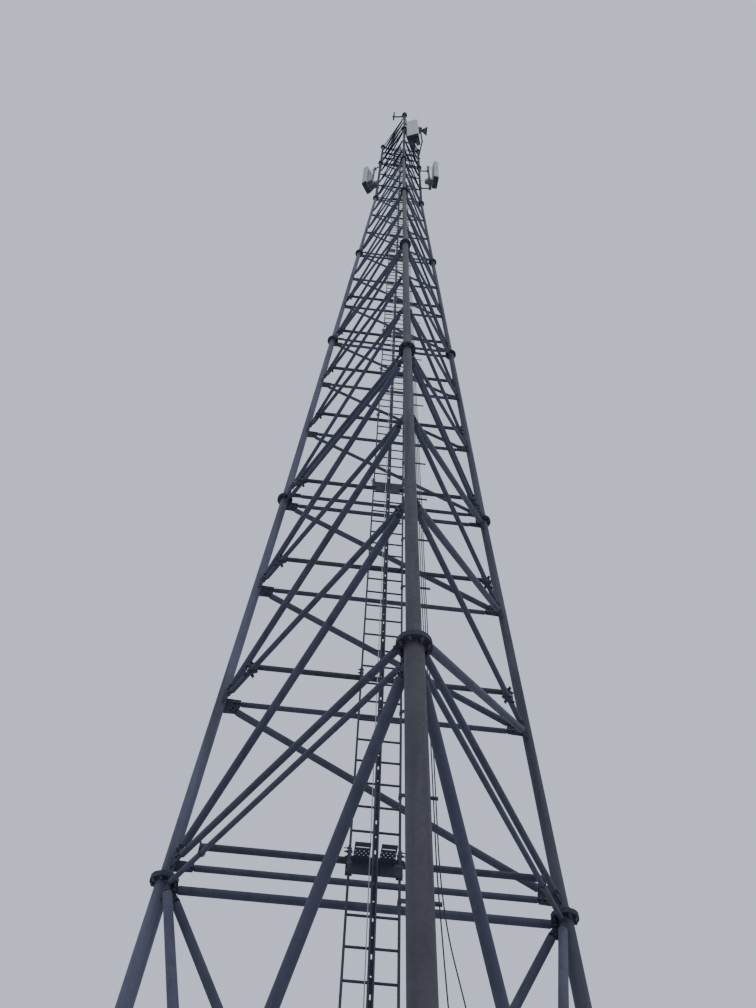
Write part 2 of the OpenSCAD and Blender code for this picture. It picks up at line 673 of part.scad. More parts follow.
for (k = [0:2]) for (i = [0:sections - 1])
    color("#6f7074") leg(i, k);
for (f = [0:2]) {
    color("#5a5f6b") cross_braces(f);
    color("#4a5060") face_braces(f, 1, 4);
    color("#4a5060") face_braces(f, 5, 6);
}
color("#62656c") ladder();
color("#50555f") ladder_beams();
color("#50555f") ladder_arms();
color("#8b8e92") climbing_rail();
color("#3c3e42") safety_rope();
color("#6c6f75") rest_platforms();
color("#6c6f75") cable_brackets();
color("#1f2023") feeder_cables();
color("#1f2023") jumper_cables();
for (k = [0:2]) {
    color("#c9cac8") antenna(k);
    color("#55585e") antenna_mount(k);
}
color("#b9bab8") remote_units();
color("#8a3a34") beacon();
color("#5c6068") side_arm();
color("#77797d") horn_antenna();
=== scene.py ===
# Three-legged lattice antenna tower, dressed for a studio picture.

import math

import bmesh
import bpy
from mathutils import Matrix, Vector


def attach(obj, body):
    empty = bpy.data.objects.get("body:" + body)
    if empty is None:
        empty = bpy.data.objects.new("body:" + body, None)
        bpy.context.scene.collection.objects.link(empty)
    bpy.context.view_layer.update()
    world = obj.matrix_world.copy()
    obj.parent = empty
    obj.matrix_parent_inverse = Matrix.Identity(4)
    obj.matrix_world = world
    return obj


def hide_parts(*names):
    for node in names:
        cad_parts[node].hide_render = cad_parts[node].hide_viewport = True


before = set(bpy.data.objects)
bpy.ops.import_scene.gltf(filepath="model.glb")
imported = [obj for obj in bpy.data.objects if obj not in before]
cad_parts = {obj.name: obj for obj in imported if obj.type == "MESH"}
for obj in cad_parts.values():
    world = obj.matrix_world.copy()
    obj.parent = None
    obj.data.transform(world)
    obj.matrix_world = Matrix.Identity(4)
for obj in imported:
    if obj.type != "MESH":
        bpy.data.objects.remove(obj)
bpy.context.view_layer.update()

# Camera: close to the front leg, 2 m up, looking steeply up the tower. Its place and turn were worked out from
# the bolted joints of the legs.
eye = Vector((-0.55, -3.426, 2.004))
yaw, pitch, roll = 0.066, 0.983, 0.055
focal_px, photo_h, sensor_h, far_clip = 795, 1008, 36, 400
forward = Vector((math.sin(yaw) * math.cos(pitch), math.cos(yaw) * math.cos(pitch), math.sin(pitch)))
level_right = Vector((math.cos(yaw), -math.sin(yaw), 0))
level_up = level_right.cross(forward)
right = math.cos(roll) * level_right + math.sin(roll) * level_up
up = -math.sin(roll) * level_right + math.cos(roll) * level_up


def add_object(name, data):
    thing = bpy.data.objects.new(name, data)
    bpy.context.scene.collection.objects.link(thing)
    return thing


camera = add_object("camera", bpy.data.cameras.new("camera"))
optics = camera.data
optics.sensor_fit, optics.sensor_height, optics.clip_end = "VERTICAL", sensor_h, far_clip
optics.lens = sensor_h * focal_px / photo_h
camera.matrix_world = Matrix.Translation(eye) @ Matrix((right, up, -forward)).transposed().to_4x4()
bpy.context.scene.camera = camera

# Studio: a pale floor as large as the tower's shadow needs, a pale surround and one broad soft lamp above, as
# on an overcast day.
floor_half, floor_drop, floor_grey, floor_rough = 60, 0.002, (0.52, 0.52, 0.53, 1), 0.9
surround_colour, surround_strength = (0.66, 0.71, 0.85, 1), 1.0
lamp_energy, lamp_breadth, lamp_lean = 0.6, 60, (24, 14, 0)
floor_bm = bmesh.new()
bmesh.ops.create_grid(floor_bm, x_segments=1, y_segments=1, size=floor_half,
                      matrix=Matrix.Translation((0, 0, -floor_drop)))
floor_mesh = bpy.data.meshes.new("floor")
floor_bm.to_mesh(floor_mesh)
floor_bm.free()
floor = add_object("floor", floor_mesh)
floor_paint = bpy.data.materials.new("floor_paint")
floor_paint.use_nodes = True
floor_shader = floor_paint.node_tree.nodes["Principled BSDF"]
floor_shader.inputs["Base Color"].default_value = floor_grey
floor_shader.inputs["Roughness"].default_value = floor_rough
floor_mesh.materials.append(floor_paint)

world = bpy.data.worlds.new("studio")
bpy.context.scene.world = world
world.use_nodes = True
surround = world.node_tree.nodes["Background"]
surround.inputs["Color"].default_value = surround_colour
surround.inputs["Strength"].default_value = surround_strength

sky_lamp = add_object("sky_lamp", bpy.data.lights.new("sky_lamp", "SUN"))
sky_lamp.data.energy = lamp_energy
sky_lamp.data.angle = math.radians(lamp_breadth)
sky_lamp.rotation_euler = [math.radians(lean) for lean in lamp_lean]

# Legs: seven lengths of hot-dip galvanised steel tube a leg, thinner towards the top, joined by welded-on
# flange rings with eight bolts. The zinc has weathered to a dull grey, with rain streaks down the tube. Its
# colour is painted darker than such zinc, as painted shade, and differs from leg to leg as painted light and
# shade: warm grey on the front leg, bluer on the other two, and lightest on the left one.
section_h, crown_h = 6.0, 3.6
base_w, knee_w, top_w = 4.25, 3.03, 1.545
knee_z, parallel_z = 2 * section_h, 5 * section_h
leg_d = [0.1413, 0.1143, 0.1143, 0.1016, 0.0889, 0.0889, 0.0889]
leg_az = {"front": -90, "right": 30, "left": 150}
sections = len(leg_d)
tower_top = (sections - 1) * section_h + crown_h
leg_shift = Vector((0, base_w / math.sqrt(3), 0))


def level(i):
    """The height at which a section begins."""
    return min(i * section_h, tower_top)


def width(z):
    """The distance between the leg axes at a height."""
    if z <= knee_z:
        return base_w + (knee_w - base_w) * z / knee_z
    if z <= parallel_z:
        return knee_w + (top_w - knee_w) * (z - knee_z) / (parallel_z - knee_z)
    return top_w


def leg_at(leg, z):
    """The middle of a leg at a height."""
    a, r = math.radians(leg_az[leg]), width(z) / math.sqrt(3)
    return leg_shift + Vector((r * math.cos(a), r * math.sin(a), z))


def new_finish(name, metallic=0.0):
    """A material, its tree, its shader and the place on the tower that its patterns follow."""
    paint = bpy.data.materials.new(name)
    paint.use_nodes = True
    tree = paint.node_tree
    shader = tree.nodes["Principled BSDF"]
    shader.inputs["Metallic"].default_value = metallic
    return paint, tree, shader, tree.nodes.new("ShaderNodeTexCoord").outputs["Object"]


def add_node(tree, kind, sockets, **settings):
    """The outputs of a new shader node. A socket is given a number, a colour or another node's output."""
    node = tree.nodes.new("ShaderNode" + kind)
    for key, value in settings.items():
        setattr(node, key, value)
    for key, value in sockets.items():
        if isinstance(value, bpy.types.NodeSocket):
            tree.links.new(value, node.inputs[key])
        else:
            node.inputs[key].default_value = value
    return node.outputs


def noise(tree, place, scale, detail, stretch=(1, 1, 1)):
    place = add_node(tree, "Mapping", {"Vector": place, "Scale": stretch})["Vector"]
    return add_node(tree, "TexNoise", {"Vector": place, "Scale": scale, "Detail": detail})["Fac"]


def spread(tree, value, low, high, to_low=0.0, to_high=1.0):
    """A value drawn out from one range to another."""
    ranges = {"From Min": low, "From Max": high, "To Min": to_low, "To Max": to_high}
    return add_node(tree, "MapRange", {"Value": value, **ranges})["Result"]


def blend(tree, factor, first, second):
    first, second = ((*c, 1) if isinstance(c, tuple) else c for c in (first, second))
    return add_node(tree, "Mix", {0: factor, 6: first, 7: second}, data_type="RGBA")[2]


def roughen(tree, height, shader, strength, distance):
    bump = add_node(tree, "Bump", {"Strength": strength, "Distance": distance, "Height": height})
    tree.links.new(bump["Normal"], shader.inputs["Normal"])


def surface(tree, shader, place, colour, wear, grain):
    """Colour, roughness and grain. Wear: scale, detail, lowest and highest roughness; grain: scale, detail,
    strength, depth."""
    worn = spread(tree, noise(tree, place, *wear[:2]), 0.3, 0.7, *wear[2:])
    tree.links.new(colour, shader.inputs["Base Color"])
    tree.links.new(worn, shader.inputs["Roughness"])
    roughen(tree, noise(tree, place, *grain[:2]), shader, *grain[2:])


def galvanised(name, zinc, stain, dullness=0.55, metallic=0.35, shine=0.5, streak=0.5, tube=None, plates=None):
    """Weathered zinc: two tones in soft clouds, small spangles, and stains that run down. Where the foot, top
    and radius of a tube are given, the plates around it take the colour given as plates; the legs use this for
    painted shade on their gussets."""
    spangle_scale, spangle_share, dark_cloud, bright_spangle = 85, 0.2, 0.78, 1.6
    paint, tree, shader, place = new_finish(name, metallic)
    shader.inputs["Specular IOR Level"].default_value = shine
    clouds = spread(tree, noise(tree, place, 2.2, 5), 0.35, 0.65)
    runs = spread(tree, noise(tree, place, 9, 4, (1, 1, 0.06)), 0.5, 0.72, 0, streak)
    colour = blend(tree, clouds, zinc, tuple(c * dark_cloud for c in zinc))
    if tube:
        foot, top, radius = tube
        turn = (top - foot).to_track_quat("Z", "Y").to_euler()
        local = add_node(tree, "Mapping", {"Vector": place, "Location": foot, "Rotation": turn},
                         vector_type="TEXTURE")
        across = add_node(tree, "VectorMath", {0: local["Vector"], 1: (1, 1, 0)}, operation="MULTIPLY")
        reach = add_node(tree, "VectorMath", {0: across["Vector"]}, operation="LENGTH")["Value"]
        colour = blend(tree, spread(tree, reach, radius + 0.001, radius + 0.003), colour, plates)
    cells = add_node(tree, "TexVoronoi", {"Vector": place, "Scale": spangle_scale})
    flecks = spread(tree, cells["Color"], 0, 1, 0, spangle_share)
    colour = blend(tree, flecks, colour, tuple(min(c * bright_spangle, 1) for c in zinc))
    surface(tree, shader, place, blend(tree, runs, colour, stain), (30, 3, dullness - 0.1, dullness + 0.15),
            (120, 3, 0.25, 0.0015))
    return paint


def give(paint, *nodes):
    """Puts a finish on pieces that keep their CAD shape."""
    for node in nodes:
        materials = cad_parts[node].data.materials
        materials.clear()
        materials.append(paint)


def finish_piece(name, shape, paint, slot, *stands_for):
    """Turns a bmesh into a piece of the tower with one finish."""
    mesh = bpy.data.meshes.new(name)
    shape.to_mesh(mesh)
    shape.free()
    mesh.materials.append(paint)
    piece = add_object(name, mesh)
    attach(piece, "root")
    if stands_for:
        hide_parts(*stands_for)
    return piece


def join(whole, part, *places):
    """Adds a shape to another one, at each place that is given, or else where it is."""
    template = bpy.data.meshes.new("template")
    part.to_mesh(template)
    part.free()
    for place in places or (Matrix.Identity(4),):
        copy = template.copy()
        copy.transform(place)
        whole.from_mesh(copy)
        bpy.data.meshes.remove(copy)
    bpy.data.meshes.remove(template)
    return whole


def repeated(one, places):
    """The same small shape at many places, as one shape."""
    return join(bmesh.new(), one, *places)


def at(x, y, z):
    return Matrix.Translation((x, y, z))


def turned(angle, axis):
    return Matrix.Rotation(math.radians(angle), 4, axis)


def outward(shape):
    bmesh.ops.recalc_face_normals(shape, faces=shape.faces)


def rounds(*bars):
    """Bars and hexagons on the Z axis, each given by its radius, lowest and highest point and its sides."""
    shape = bmesh.new()
    for radius, low, high, sides in bars:
        bmesh.ops.create_cone(shape, cap_ends=True, segments=sides, radius1=radius, radius2=radius,
                              depth=high - low, matrix=at(0, 0, (low + high) / 2))
    return shape


def bolt(size, grip, stub):
    """A hexagon bolt through plates that reach from 0 down to -grip: head, two washers, nut and thread end."""
    corner, rim, washer, head, nut = (size * part for part in (0.87, 0.95, 0.12, 0.62, 0.8))
    back = -grip - washer
    return rounds((corner, washer, washer + head, 6), (rim, 0, washer, 12), (rim, back, -grip, 12),
                  (corner, back - nut, back, 6), (size / 2, back - nut - stub, back - nut, 10))


def weld_ring(radius, bead=0.006):
    """A weld bead round a tube."""
    shape = bmesh.new()
    bmesh.ops.create_circle(shape, radius=bead, segments=6, matrix=at(radius, 0, 0) @ turned(90, "X"))
    bmesh.ops.spin(shape, geom=shape.edges[:], cent=(0, 0, 0), axis=(0, 0, 1), angle=math.tau, steps=24,
                   use_merge=True)
    outward(shape)
    return shape


# One and the same zinc with a tone for each leg: painted light and shade.
lit_and_shaded_leg_zinc = {"front": (0.086, 0.083, 0.093), "right": (0.086, 0.087, 0.112), "left": (0.128, 0.132, 0.176)}
# The gusset plates round each leg tube are painted darker than the tube: painted shade.
shaded_plate_zinc, rain_stain, painted_shade_from, painted_shade_top = (0.036, 0.043, 0.060), (0.030, 0.028, 0.029), 5, 0.25
bolt_steel = galvanised("bolt_steel", (0.10, 0.10, 0.105), (0.04, 0.036, 0.034), 0.45, 0.6)
for leg in leg_az:
    for i in range(sections):
        axis = leg_at(leg, level(i)), leg_at(leg, level(i + 1)), leg_d[i] / 2
        # The two top sections of each leg are painted darker: painted shade.
        zinc = tuple(c * (painted_shade_top if i >= painted_shade_from else 1) for c in lit_and_shaded_leg_zinc[leg])
        node = f"{leg}_leg_{i + 1}"
        give(galvanised(f"{node}_zinc", zinc, rain_stain, 0.65, 0, 0.15, tube=axis, plates=shaded_plate_zinc), node)

flange_rim, flange_t, foot_t, ring_gap = 0.057, 0.022, 0.030, 0.0003
ring_bolt, ring_bolts, ring_bolt_inset, ring_stub = 0.020, 8, 0.026, 0.012
for leg in leg_az:
    places = []
    for i in range(1, sections):
        radius = max(leg_d[i - 1], leg_d[i]) / 2 + flange_rim - ring_bolt_inset
        for turn in range(ring_bolts):
            a = math.radians(leg_az[leg] + 360 / ring_bolts * (turn + 0.5))
            spot = leg_at(leg, level(i)) + Vector((radius * math.cos(a), radius * math.sin(a), flange_t))
            places.append(Matrix.Translation(spot))
    finish_piece(f"{leg}_flange_bolts", repeated(bolt(ring_bolt, 2 * flange_t + ring_gap, ring_stub), places),
                 bolt_steel, "leg_tube")

weld_zinc = galvanised("weld_zinc", (0.05, 0.05, 0.055), rain_stain, 0.6)
welds = bmesh.new()
for i in range(sections):
    rings = [level(i) + (flange_t if i else foot_t)]
    if i < sections - 1:
        rings.append(level(i + 1) - flange_t - ring_gap)
    join(welds, weld_ring(leg_d[i] / 2), *(Matrix.Translation(leg_at(leg, z)) for leg in leg_az for z in rings))
finish_piece("leg_welds", welds, weld_zinc, "leg_tube")

# Base plates: a round plate under each leg on six cast-in anchor bolts, each with a washer and two nuts.
anchor_pcd, anchor_d, anchor_out, anchor_turns = 0.330, 0.027, 0.075, range(30, 390, 60)
washer_r, washer_t, nut_r, nut_h, nut_lows = 0.028, 0.005, 0.023, 0.021, (0.005, 0.028)
anchor = rounds((anchor_d / 2, 0.002, foot_t + anchor_out, 12), (washer_r, foot_t, foot_t + washer_t, 16),
                *((nut_r, foot_t + low, foot_t + low + nut_h, 6) for low in nut_lows))
places = [Matrix.Translation(leg_at(leg, 0) + turned(leg_az[leg] + turn, "Z") @ Vector((anchor_pcd / 2, 0, 0)))
          for leg in leg_az for turn in anchor_turns]
finish_piece("anchor_bolts", repeated(anchor, places), bolt_steel, "leg_tube")

# Bracing: round tubes whose flattened tongue plates are bolted to the legs' gussets. Their zinc is darker and
# bluer than that of the legs, and the top braces are painted much darker still: painted shade. The side faces
# carry them inside the gussets, the back face outside.
brace_steel = galvanised("brace_steel", (0.081, 0.084, 0.119), (0.040, 0.042, 0.056), 0.65, 0, 0.2)
# The top braces: the same zinc painted much darker, as painted shade.
shaded_top_brace_steel = galvanised("shaded_top_brace_steel", (0.024, 0.026, 0.038), (0.014, 0.015, 0.020), 0.65, 0, 0.1)
faces = {"right": (-30, -1), "back": (90, 1), "left": (210, -1)}
panels, above_joint, below_joint, first_below = 3, 0.145, 0.110, 0.070
cross_d, back_beam_d = 0.0825, 0.0761
beam_d = [0.0483, 0.0603, 0.057, 0.054, 0.0483, 0.0424, 0.0424]
diagonal_d = [0, 0.0761, 0.057, 0.057, 0.054, 0.0483, 0.0483]
gusset_t, tongue_t = 0.012, 0.010
bar_n = gusset_t / 2 + ring_gap + tongue_t / 2
slant_inset, slant_low, slant_high = 0.120, 0.065, 0.070
cross_low, cross_inset, cross_gap = 0.330, 0.170, 0.030
beam_inset = [0.080] + [0.135] * (sections - 1)


def face_r(z):
    """The distance of a face from the tower's axis at a height."""
    return width(z) / (2 * math.sqrt(3))


def tilt(i):
    """How far the faces of a section lean inwards."""
    return math.atan((face_r(level(i)) - face_r(level(i + 1))) / (level(i + 1) - level(i)))


def half_w(i, y):
    """Half the distance between the leg axes, at a distance up the face of a section."""
    return width(level(i) + y * math.cos(tilt(i))) / 2


def node_y(i):
    """Distances up the face from a joint to the horizontals of the section above it."""
    length = (level(i + 1) - level(i)) / math.cos(tilt(i))
    if i == 0:
        return [length - first_below]
    return [above_joint + (length - above_joint - below_joint) * k / panels for k in range(panels + 1)]


def on_face(i, face):
    """The frame of a face in a section: X runs along it, Y up it and Z outwards."""
    return (Matrix.Translation(leg_shift) @ turned(faces[face][0], "Z") @ at(face_r(level(i)), 0, level(i))
            @ Matrix.Rotation(-tilt(i), 4, "Y") @ turned(90, "Z") @ turned(90, "X"))


def bars(i, face):
    """The two ends, in the face, and the diameter of each bar of a section."""
    ys = node_y(i)
    if i == 0:
        y = ys[0]
        foot = Vector((half_w(0, cross_low) - cross_inset, cross_low))
        head = Vector((half_w(0, y) - slant_inset, y - slant_high))
        middle = Vector((0, foot.y + foot.x / (foot.x + head.x) * (head.y - foot.y)))
        slope = (Vector((-head.x, head.y)) - foot).normalized() * (cross_d / 2 + cross_gap)
        yield Vector((-foot.x, foot.y)), head, cross_d
        yield foot, middle - slope, cross_d
        yield middle + slope, Vector((-head.x, head.y)), cross_d
    for y in ys:
        end = half_w(i, y) - beam_inset[i]
        yield Vector((-end, y)), Vector((end, y)), back_beam_d if i == 0 and face == "back" else beam_d[i]
    for low, high in zip(ys, ys[1:]):
        yield (Vector((-half_w(i, low) + slant_inset, low + slant_low)),
               Vector((half_w(i, high) - slant_inset, high - slant_high)), diagonal_d[i])


bar_bolt, bar_stub, twin_from, twin_share = 0.016, 0.008, 0.070, 0.22
first_holes, other_holes = (0.030,), (0.022, 0.066)
for face, (_, side) in faces.items():
    give(brace_steel, f"{face}_cross_braces", f"{face}_face_braces")
    give(shaded_top_brace_steel, f"{face}_top_braces")
    places = []
    turn_over = Matrix.Identity(4) if side > 0 else turned(180, "X")
    for i in range(sections):
        for start, end, thick in bars(i, face):
            along = (end - start).normalized()
            across = Vector((-along.y, along.x)) * (thick * twin_share if thick > twin_from else 0)
            for corner, way in ((start, along), (end, -along)):
                for reach in other_holes if i else first_holes:
                    for spot in {tuple(corner + way * reach + across), tuple(corner + way * reach - across)}:
                        seat = Vector((*spot, side * (bar_n + tongue_t / 2)))
                        places.append(on_face(i, face) @ Matrix.Translation(seat) @ turn_over)
    finish_piece(f"{face}_gusset_bolts",
                 repeated(bolt(bar_bolt, gusset_t + ring_gap + tongue_t, bar_stub), places),
                 bolt_steel, "brace_tube")

# Ladder: two flat steel stiles with round rungs welded between them, bolted down at its foot.
ladder_w, ladder_y, stile_w, stile_depth, rung_pitch, rung_foot = 0.430, 0.360, 0.020, 0.040, 0.250, 0.210
ladder_mid = leg_shift.y + ladder_y
ladder_back = ladder_mid + stile_depth / 2
ladder_front = ladder_back - stile_depth
ladder_steel = galvanised("ladder_steel", (0.060, 0.062, 0.082), (0.030, 0.030, 0.036), 0.6, 0.1, 0.25)
give(ladder_steel, "ladder")
ground_bolt = rounds((0.012, 0.010, 0.012, 12), (0.010, 0.012, 0.022, 6), (0.006, 0.022, 0.040, 10))
places = [at(x * ladder_w / 2, ladder_mid + y, 0) for x in (-1, 1) for y in (-0.036, 0.036)]
finish_piece("ladder_foot_bolts", repeated(ground_bolt, places), bolt_steel, "ladder_steel")

# Ladder beams: tubes across the horizontals of the side faces. A bent rod holds each end of the lowest, and
# crossed straps above and below, with four rods, the others. Two cheeks with two bolts hold each stile.
beam_d0, beam_gap, beam_nodes = 0.0603, 0.048, [(0, 0), (1, 1), (1, 2), (1, 3), (2, 1), (2, 2), (2, 3), (3, 1)]
beam_y = ladder_back + ring_gap + beam_gap + beam_d0 / 2


def node_z(i, j, side):
    """The height of the axis of a section's horizontal."""
    return level(i) + node_y(i)[j] * math.cos(tilt(i)) + side * bar_n * math.sin(tilt(i))


def rise(edge):
    return abs(edge.verts[0].co.z - edge.verts[1].co.z)


def soften(shape, edges, offset, segments):
    bmesh.ops.bevel(shape, geom=edges, offset=offset, affect="EDGES", segments=segments, profile=0.5,
                    material=-1)


def plate(long, wide, thick, corner=0.004, segments=1):
    """A flat plate about the origin, with its upright corners cut or rounded."""
    shape = bmesh.new()
    bmesh.ops.create_cube(shape, size=1, matrix=Matrix.Diagonal((long, wide, thick, 1)))
    soften(shape, [e for e in shape.edges if rise(e) > thick / 2], corner, segments)
    return shape


def shift_new(shape, made, way):
    """Moves the points that an extrusion has made."""
    bmesh.ops.translate(shape, verts=[v for v in made["geom"] if isinstance(v, bmesh.types.BMVert)], vec=way)


def hook(inner, thick, straight):
    """A bent rod: half a turn below the X axis, two straight ends that point up, and their nuts."""
    shape, radius = bmesh.new(), inner + thick / 2
    bmesh.ops.create_circle(shape, radius=thick / 2, segments=8, matrix=at(0, radius, 0))
    bmesh.ops.spin(shape, geom=shape.edges[:], cent=(0, 0, 0), axis=(-1, 0, 0), angle=math.pi, steps=10)
    ends = bmesh.ops.extrude_edge_only(shape, edges=[e for e in shape.edges if e.is_boundary])
    shift_new(shape, ends, (0, 0, straight))
    bmesh.ops.holes_fill(shape, edges=shape.edges[:], sides=8)
    outward(shape)
    nut = rounds((thick * 0.87, straight - thick * 1.6, straight - thick * 0.8, 6))
    return join(shape, nut, at(0, radius, 0), at(0, -radius, 0))


strap_long, strap_short, strap_w, strap_t, strap_corner = 0.172, 0.122, 0.036, 0.008, 0.010
rod_d, rod_over, rod_under, rod_nut, overhang = 0.012, 0.022, 0.026, 0.010, 0.025
cheek_t, cheek_h, cheek_bolt, cheek_lift = 0.006, 0.080, 0.012, 0.024
cheek_deep = beam_y - ladder_front
far, near = strap_long / 2 - 0.014, strap_short / 2 - 0.013
beams, clamps = bmesh.new(), bmesh.new()
for i, j in beam_nodes:
    z = node_z(i, j, -1) + (beam_d[i] + beam_d0) / 2 + ring_gap
    x = (face_r(z) - bar_n + (beam_y - leg_shift.y) / 2) / math.cos(math.pi / 6)
    join(beams, rounds((beam_d0 / 2, -x - overhang, x + overhang, 24)), at(0, beam_y, z) @ turned(90, "Y"))
    join(beams, plate(cheek_t, cheek_deep, cheek_h, 0.001),
         *(at(s * ladder_w / 2 + e * (stile_w + cheek_t + ring_gap) / 2, beam_y - cheek_deep / 2, z)
           for s in (-1, 1) for e in (-1, 1)))
    join(beams, bolt(cheek_bolt, stile_w + 2 * cheek_t, 0.014),
         *(at(s * (ladder_w / 2 - stile_w / 2 - cheek_t), ladder_front + stile_depth / 2, z + lift)
           @ turned(-s * 90, "Y") for s in (-1, 1) for lift in (-cheek_lift, cheek_lift)))
    if i == 0:
        join(clamps, hook(beam_d[i] / 2, rod_d, beam_d[i] / 2 + beam_d0 + 0.016),
             *(at(s * x, beam_y, node_z(i, j, -1)) @ turned(s * 60, "Z") for s in (-1, 1)))
        continue
    depth = beam_d0 + beam_d[i] + ring_gap
    under, clamp = -depth - strap_t, bmesh.new()
    rod = rounds((rod_d / 2, under - rod_under, strap_t + rod_over, 10),
                 (rod_d * 0.87, strap_t, strap_t + rod_nut, 6), (rod_d * 0.87, under - rod_nut, under, 6))
    for low in (strap_t / 2, -depth - strap_t / 2):
        join(clamp, plate(strap_long, strap_w, strap_t, strap_corner, 2), at(0, 0, low))
        join(clamp, plate(strap_w, strap_short, strap_t - 0.001, strap_corner, 2), at(0, 0, low))
    join(clamp, rod, *(at(a, b, 0) for a, b in ((far, 0), (-far, 0), (0, near), (0, -near))))
    join(clamps, clamp, *(at(s * x, beam_y, z + beam_d0 / 2) @ turned(s * 30, "Z") for s in (-1, 1)))
finish_piece("ladder_beam_tubes", beams, ladder_steel, "ladder_steel", "ladder_beams")
finish_piece("beam_clamps", clamps, ladder_steel, "ladder_steel")

# Ladder arms: flat bars from the stiles to the back face's horizontals, higher up. A bent rod round each
# horizontal holds the far end, and two bolts hold the lug on the stile.
arm_nodes = [(3, 2), (3, 3), (4, 1), (4, 2), (4, 3), (5, 1), (5, 2), (5, 3), (6, 1), (6, 2)]
arm_w, arm_t, lug_t, lug_lifts, small_rod = 0.040, 0.008, 0.006, (-0.024, 0.028), 0.010
stile_side = ladder_w / 2 + stile_w / 2 + ring_gap
give(ladder_steel, "ladder_arms")
hooks, places = bmesh.new(), []
for i, j in arm_nodes:
    z = node_z(i, j, 1)
    join(hooks, hook(beam_d[i] / 2, small_rod, beam_d[i] / 2 + arm_t + 0.026),
         *(at(s * (stile_side + arm_w / 2), leg_shift.y + face_r(z) + bar_n, z) for s in (-1, 1)))
    places += [at(s * (stile_side + lug_t), ladder_mid, z + beam_d[i] / 2 + lift)
               @ turned(s * 90, "Y") for s in (-1, 1) for lift in lug_lifts]
finish_piece("arm_hooks", hooks, bolt_steel, "ladder_steel")
finish_piece("lug_bolts", repeated(bolt(0.010, lug_t + stile_w, 0.005), places), bolt_steel, "ladder_steel")

# Climbing rail: a steel channel with lips in front of the rungs, for a fall-arrest runner. Its web has a long
# slot and a round hole by turns. A clip with two bent rods holds it on every sixth rung, where no platform is.
rail_w, rail_depth, rail_t, rail_lip, rail_foot, rail_steps = 0.054, 0.030, 0.004, 0.014, 0.150, 136
slot_long, slot_wide, round_hole, rung_d = 0.040, 0.012, 0.014, 0.022
band_t, band_h, band_drop, clip_h, clip_w = 0.008, 0.118, 0.090, 0.030, 0.040
clip_first, clip_every, clip_rod, clip_rod_x, clip_clear = 3, 6, 0.008, (-0.012, 0.012), 0.005
ladder_short, rung_short, rail_short = 0.100, 0.060, 0.050
ladder_top = tower_top - ladder_short
rung_n = math.floor((ladder_top - rung_foot - rung_short) / rung_pitch)
rail_back = ladder_front - band_t - 2 * ring_gap
rail_length = ladder_top - rail_short - rail_foot
rail_zinc = galvanised("rail_zinc", (0.060, 0.064, 0.086), (0.032, 0.033, 0.040), 0.55, 0.1, 0.3, 0.3)


def sheet_with_holes(wide, long, holes):
    """A flat sheet about the origin. A hole has a middle, a radius, and what it is longer along X and Y."""
    shape = bmesh.new()
    bmesh.ops.create_grid(shape, x_segments=1, y_segments=1, size=0.5,
                          matrix=Matrix.Diagonal((wide, long, 1, 1)))
    bmesh.ops.delete(shape, geom=shape.faces[:], context="FACES_ONLY")
    for x, y, radius, more_x, more_y in holes:
        ring = bmesh.ops.create_circle(shape, segments=12, radius=radius, matrix=turned(15, "Z"))["verts"]
        for v in ring:
            v.co += Vector((x + math.copysign(more_x / 2, v.co.x), y + math.copysign(more_y / 2, v.co.y), 0))
    bmesh.ops.triangle_fill(shape, use_beauty=True, use_dissolve=False, edges=shape.edges[:], normal=(0, 0, 1))
    return shape


def thicken(shape, way):
    """Draws a flat shape out into a solid."""
    shift_new(shape, bmesh.ops.extrude_face_region(shape, geom=shape.faces[:]), way)
    outward(shape)
    return shape


step = rail_length / rail_steps
web = sheet_with_holes(rail_w - 2 * rail_t, step, [(0, step / 4, round_hole / 2, 0, 0),
                                                   (0, -step / 4, slot_wide / 2, 0, slot_long - slot_wide)])
rail = repeated(web, [at(0, rail_back, rail_foot + (k + 0.5) * step) @ turned(90, "X")
                      for k in range(rail_steps)])
bmesh.ops.remove_doubles(rail, verts=rail.verts[:], dist=0.00005)
thicken(rail, (0, -rail_t, 0))
for s in (-1, 1):
    outer, lip, inner = s * rail_w / 2, s * (rail_w / 2 - rail_lip), s * (rail_w / 2 - rail_t)
    wall = bmesh.new()
    corners = [(outer, 0), (outer, -rail_depth), (lip, -rail_depth), (lip, rail_t - rail_depth),
               (inner, rail_t - rail_depth), (inner, 0)]
    wall.faces.new([wall.verts.new((x, rail_back + y, rail_foot)) for x, y in corners])
    join(rail, thicken(wall, (0, 0, rail_length)))


def band_z(i):
    """The middle of the band below a joint."""
    return level(i) - band_drop - band_h / 2


def rung_z(k):
    return rung_foot + k * rung_pitch


rung_front = rung_d / 2 + ring_gap
clip_deep = ladder_mid - rung_front - rail_back
clip = join(bmesh.new(), plate(clip_w, clip_deep, clip_h, 0.002), at(0, -rung_front - clip_deep / 2, 0))
join(clip, hook(rung_d / 2, clip_rod, 0.045), *(at(x, 0, 0) @ turned(90, "X") for x in clip_rod_x))
clip_away = (band_h + clip_h) / 2 + clip_clear
clip_rungs = [k for k in range(clip_first, rung_n - 1, clip_every)
              if min(abs(rung_z(k) - band_z(i)) for i in range(1, sections)) > clip_away]
join(rail, clip, *(at(0, ladder_mid, rung_z(k)) for k in clip_rungs))
finish_piece("slotted_rail", rail, rail_zinc, "rail", "climbing_rail")

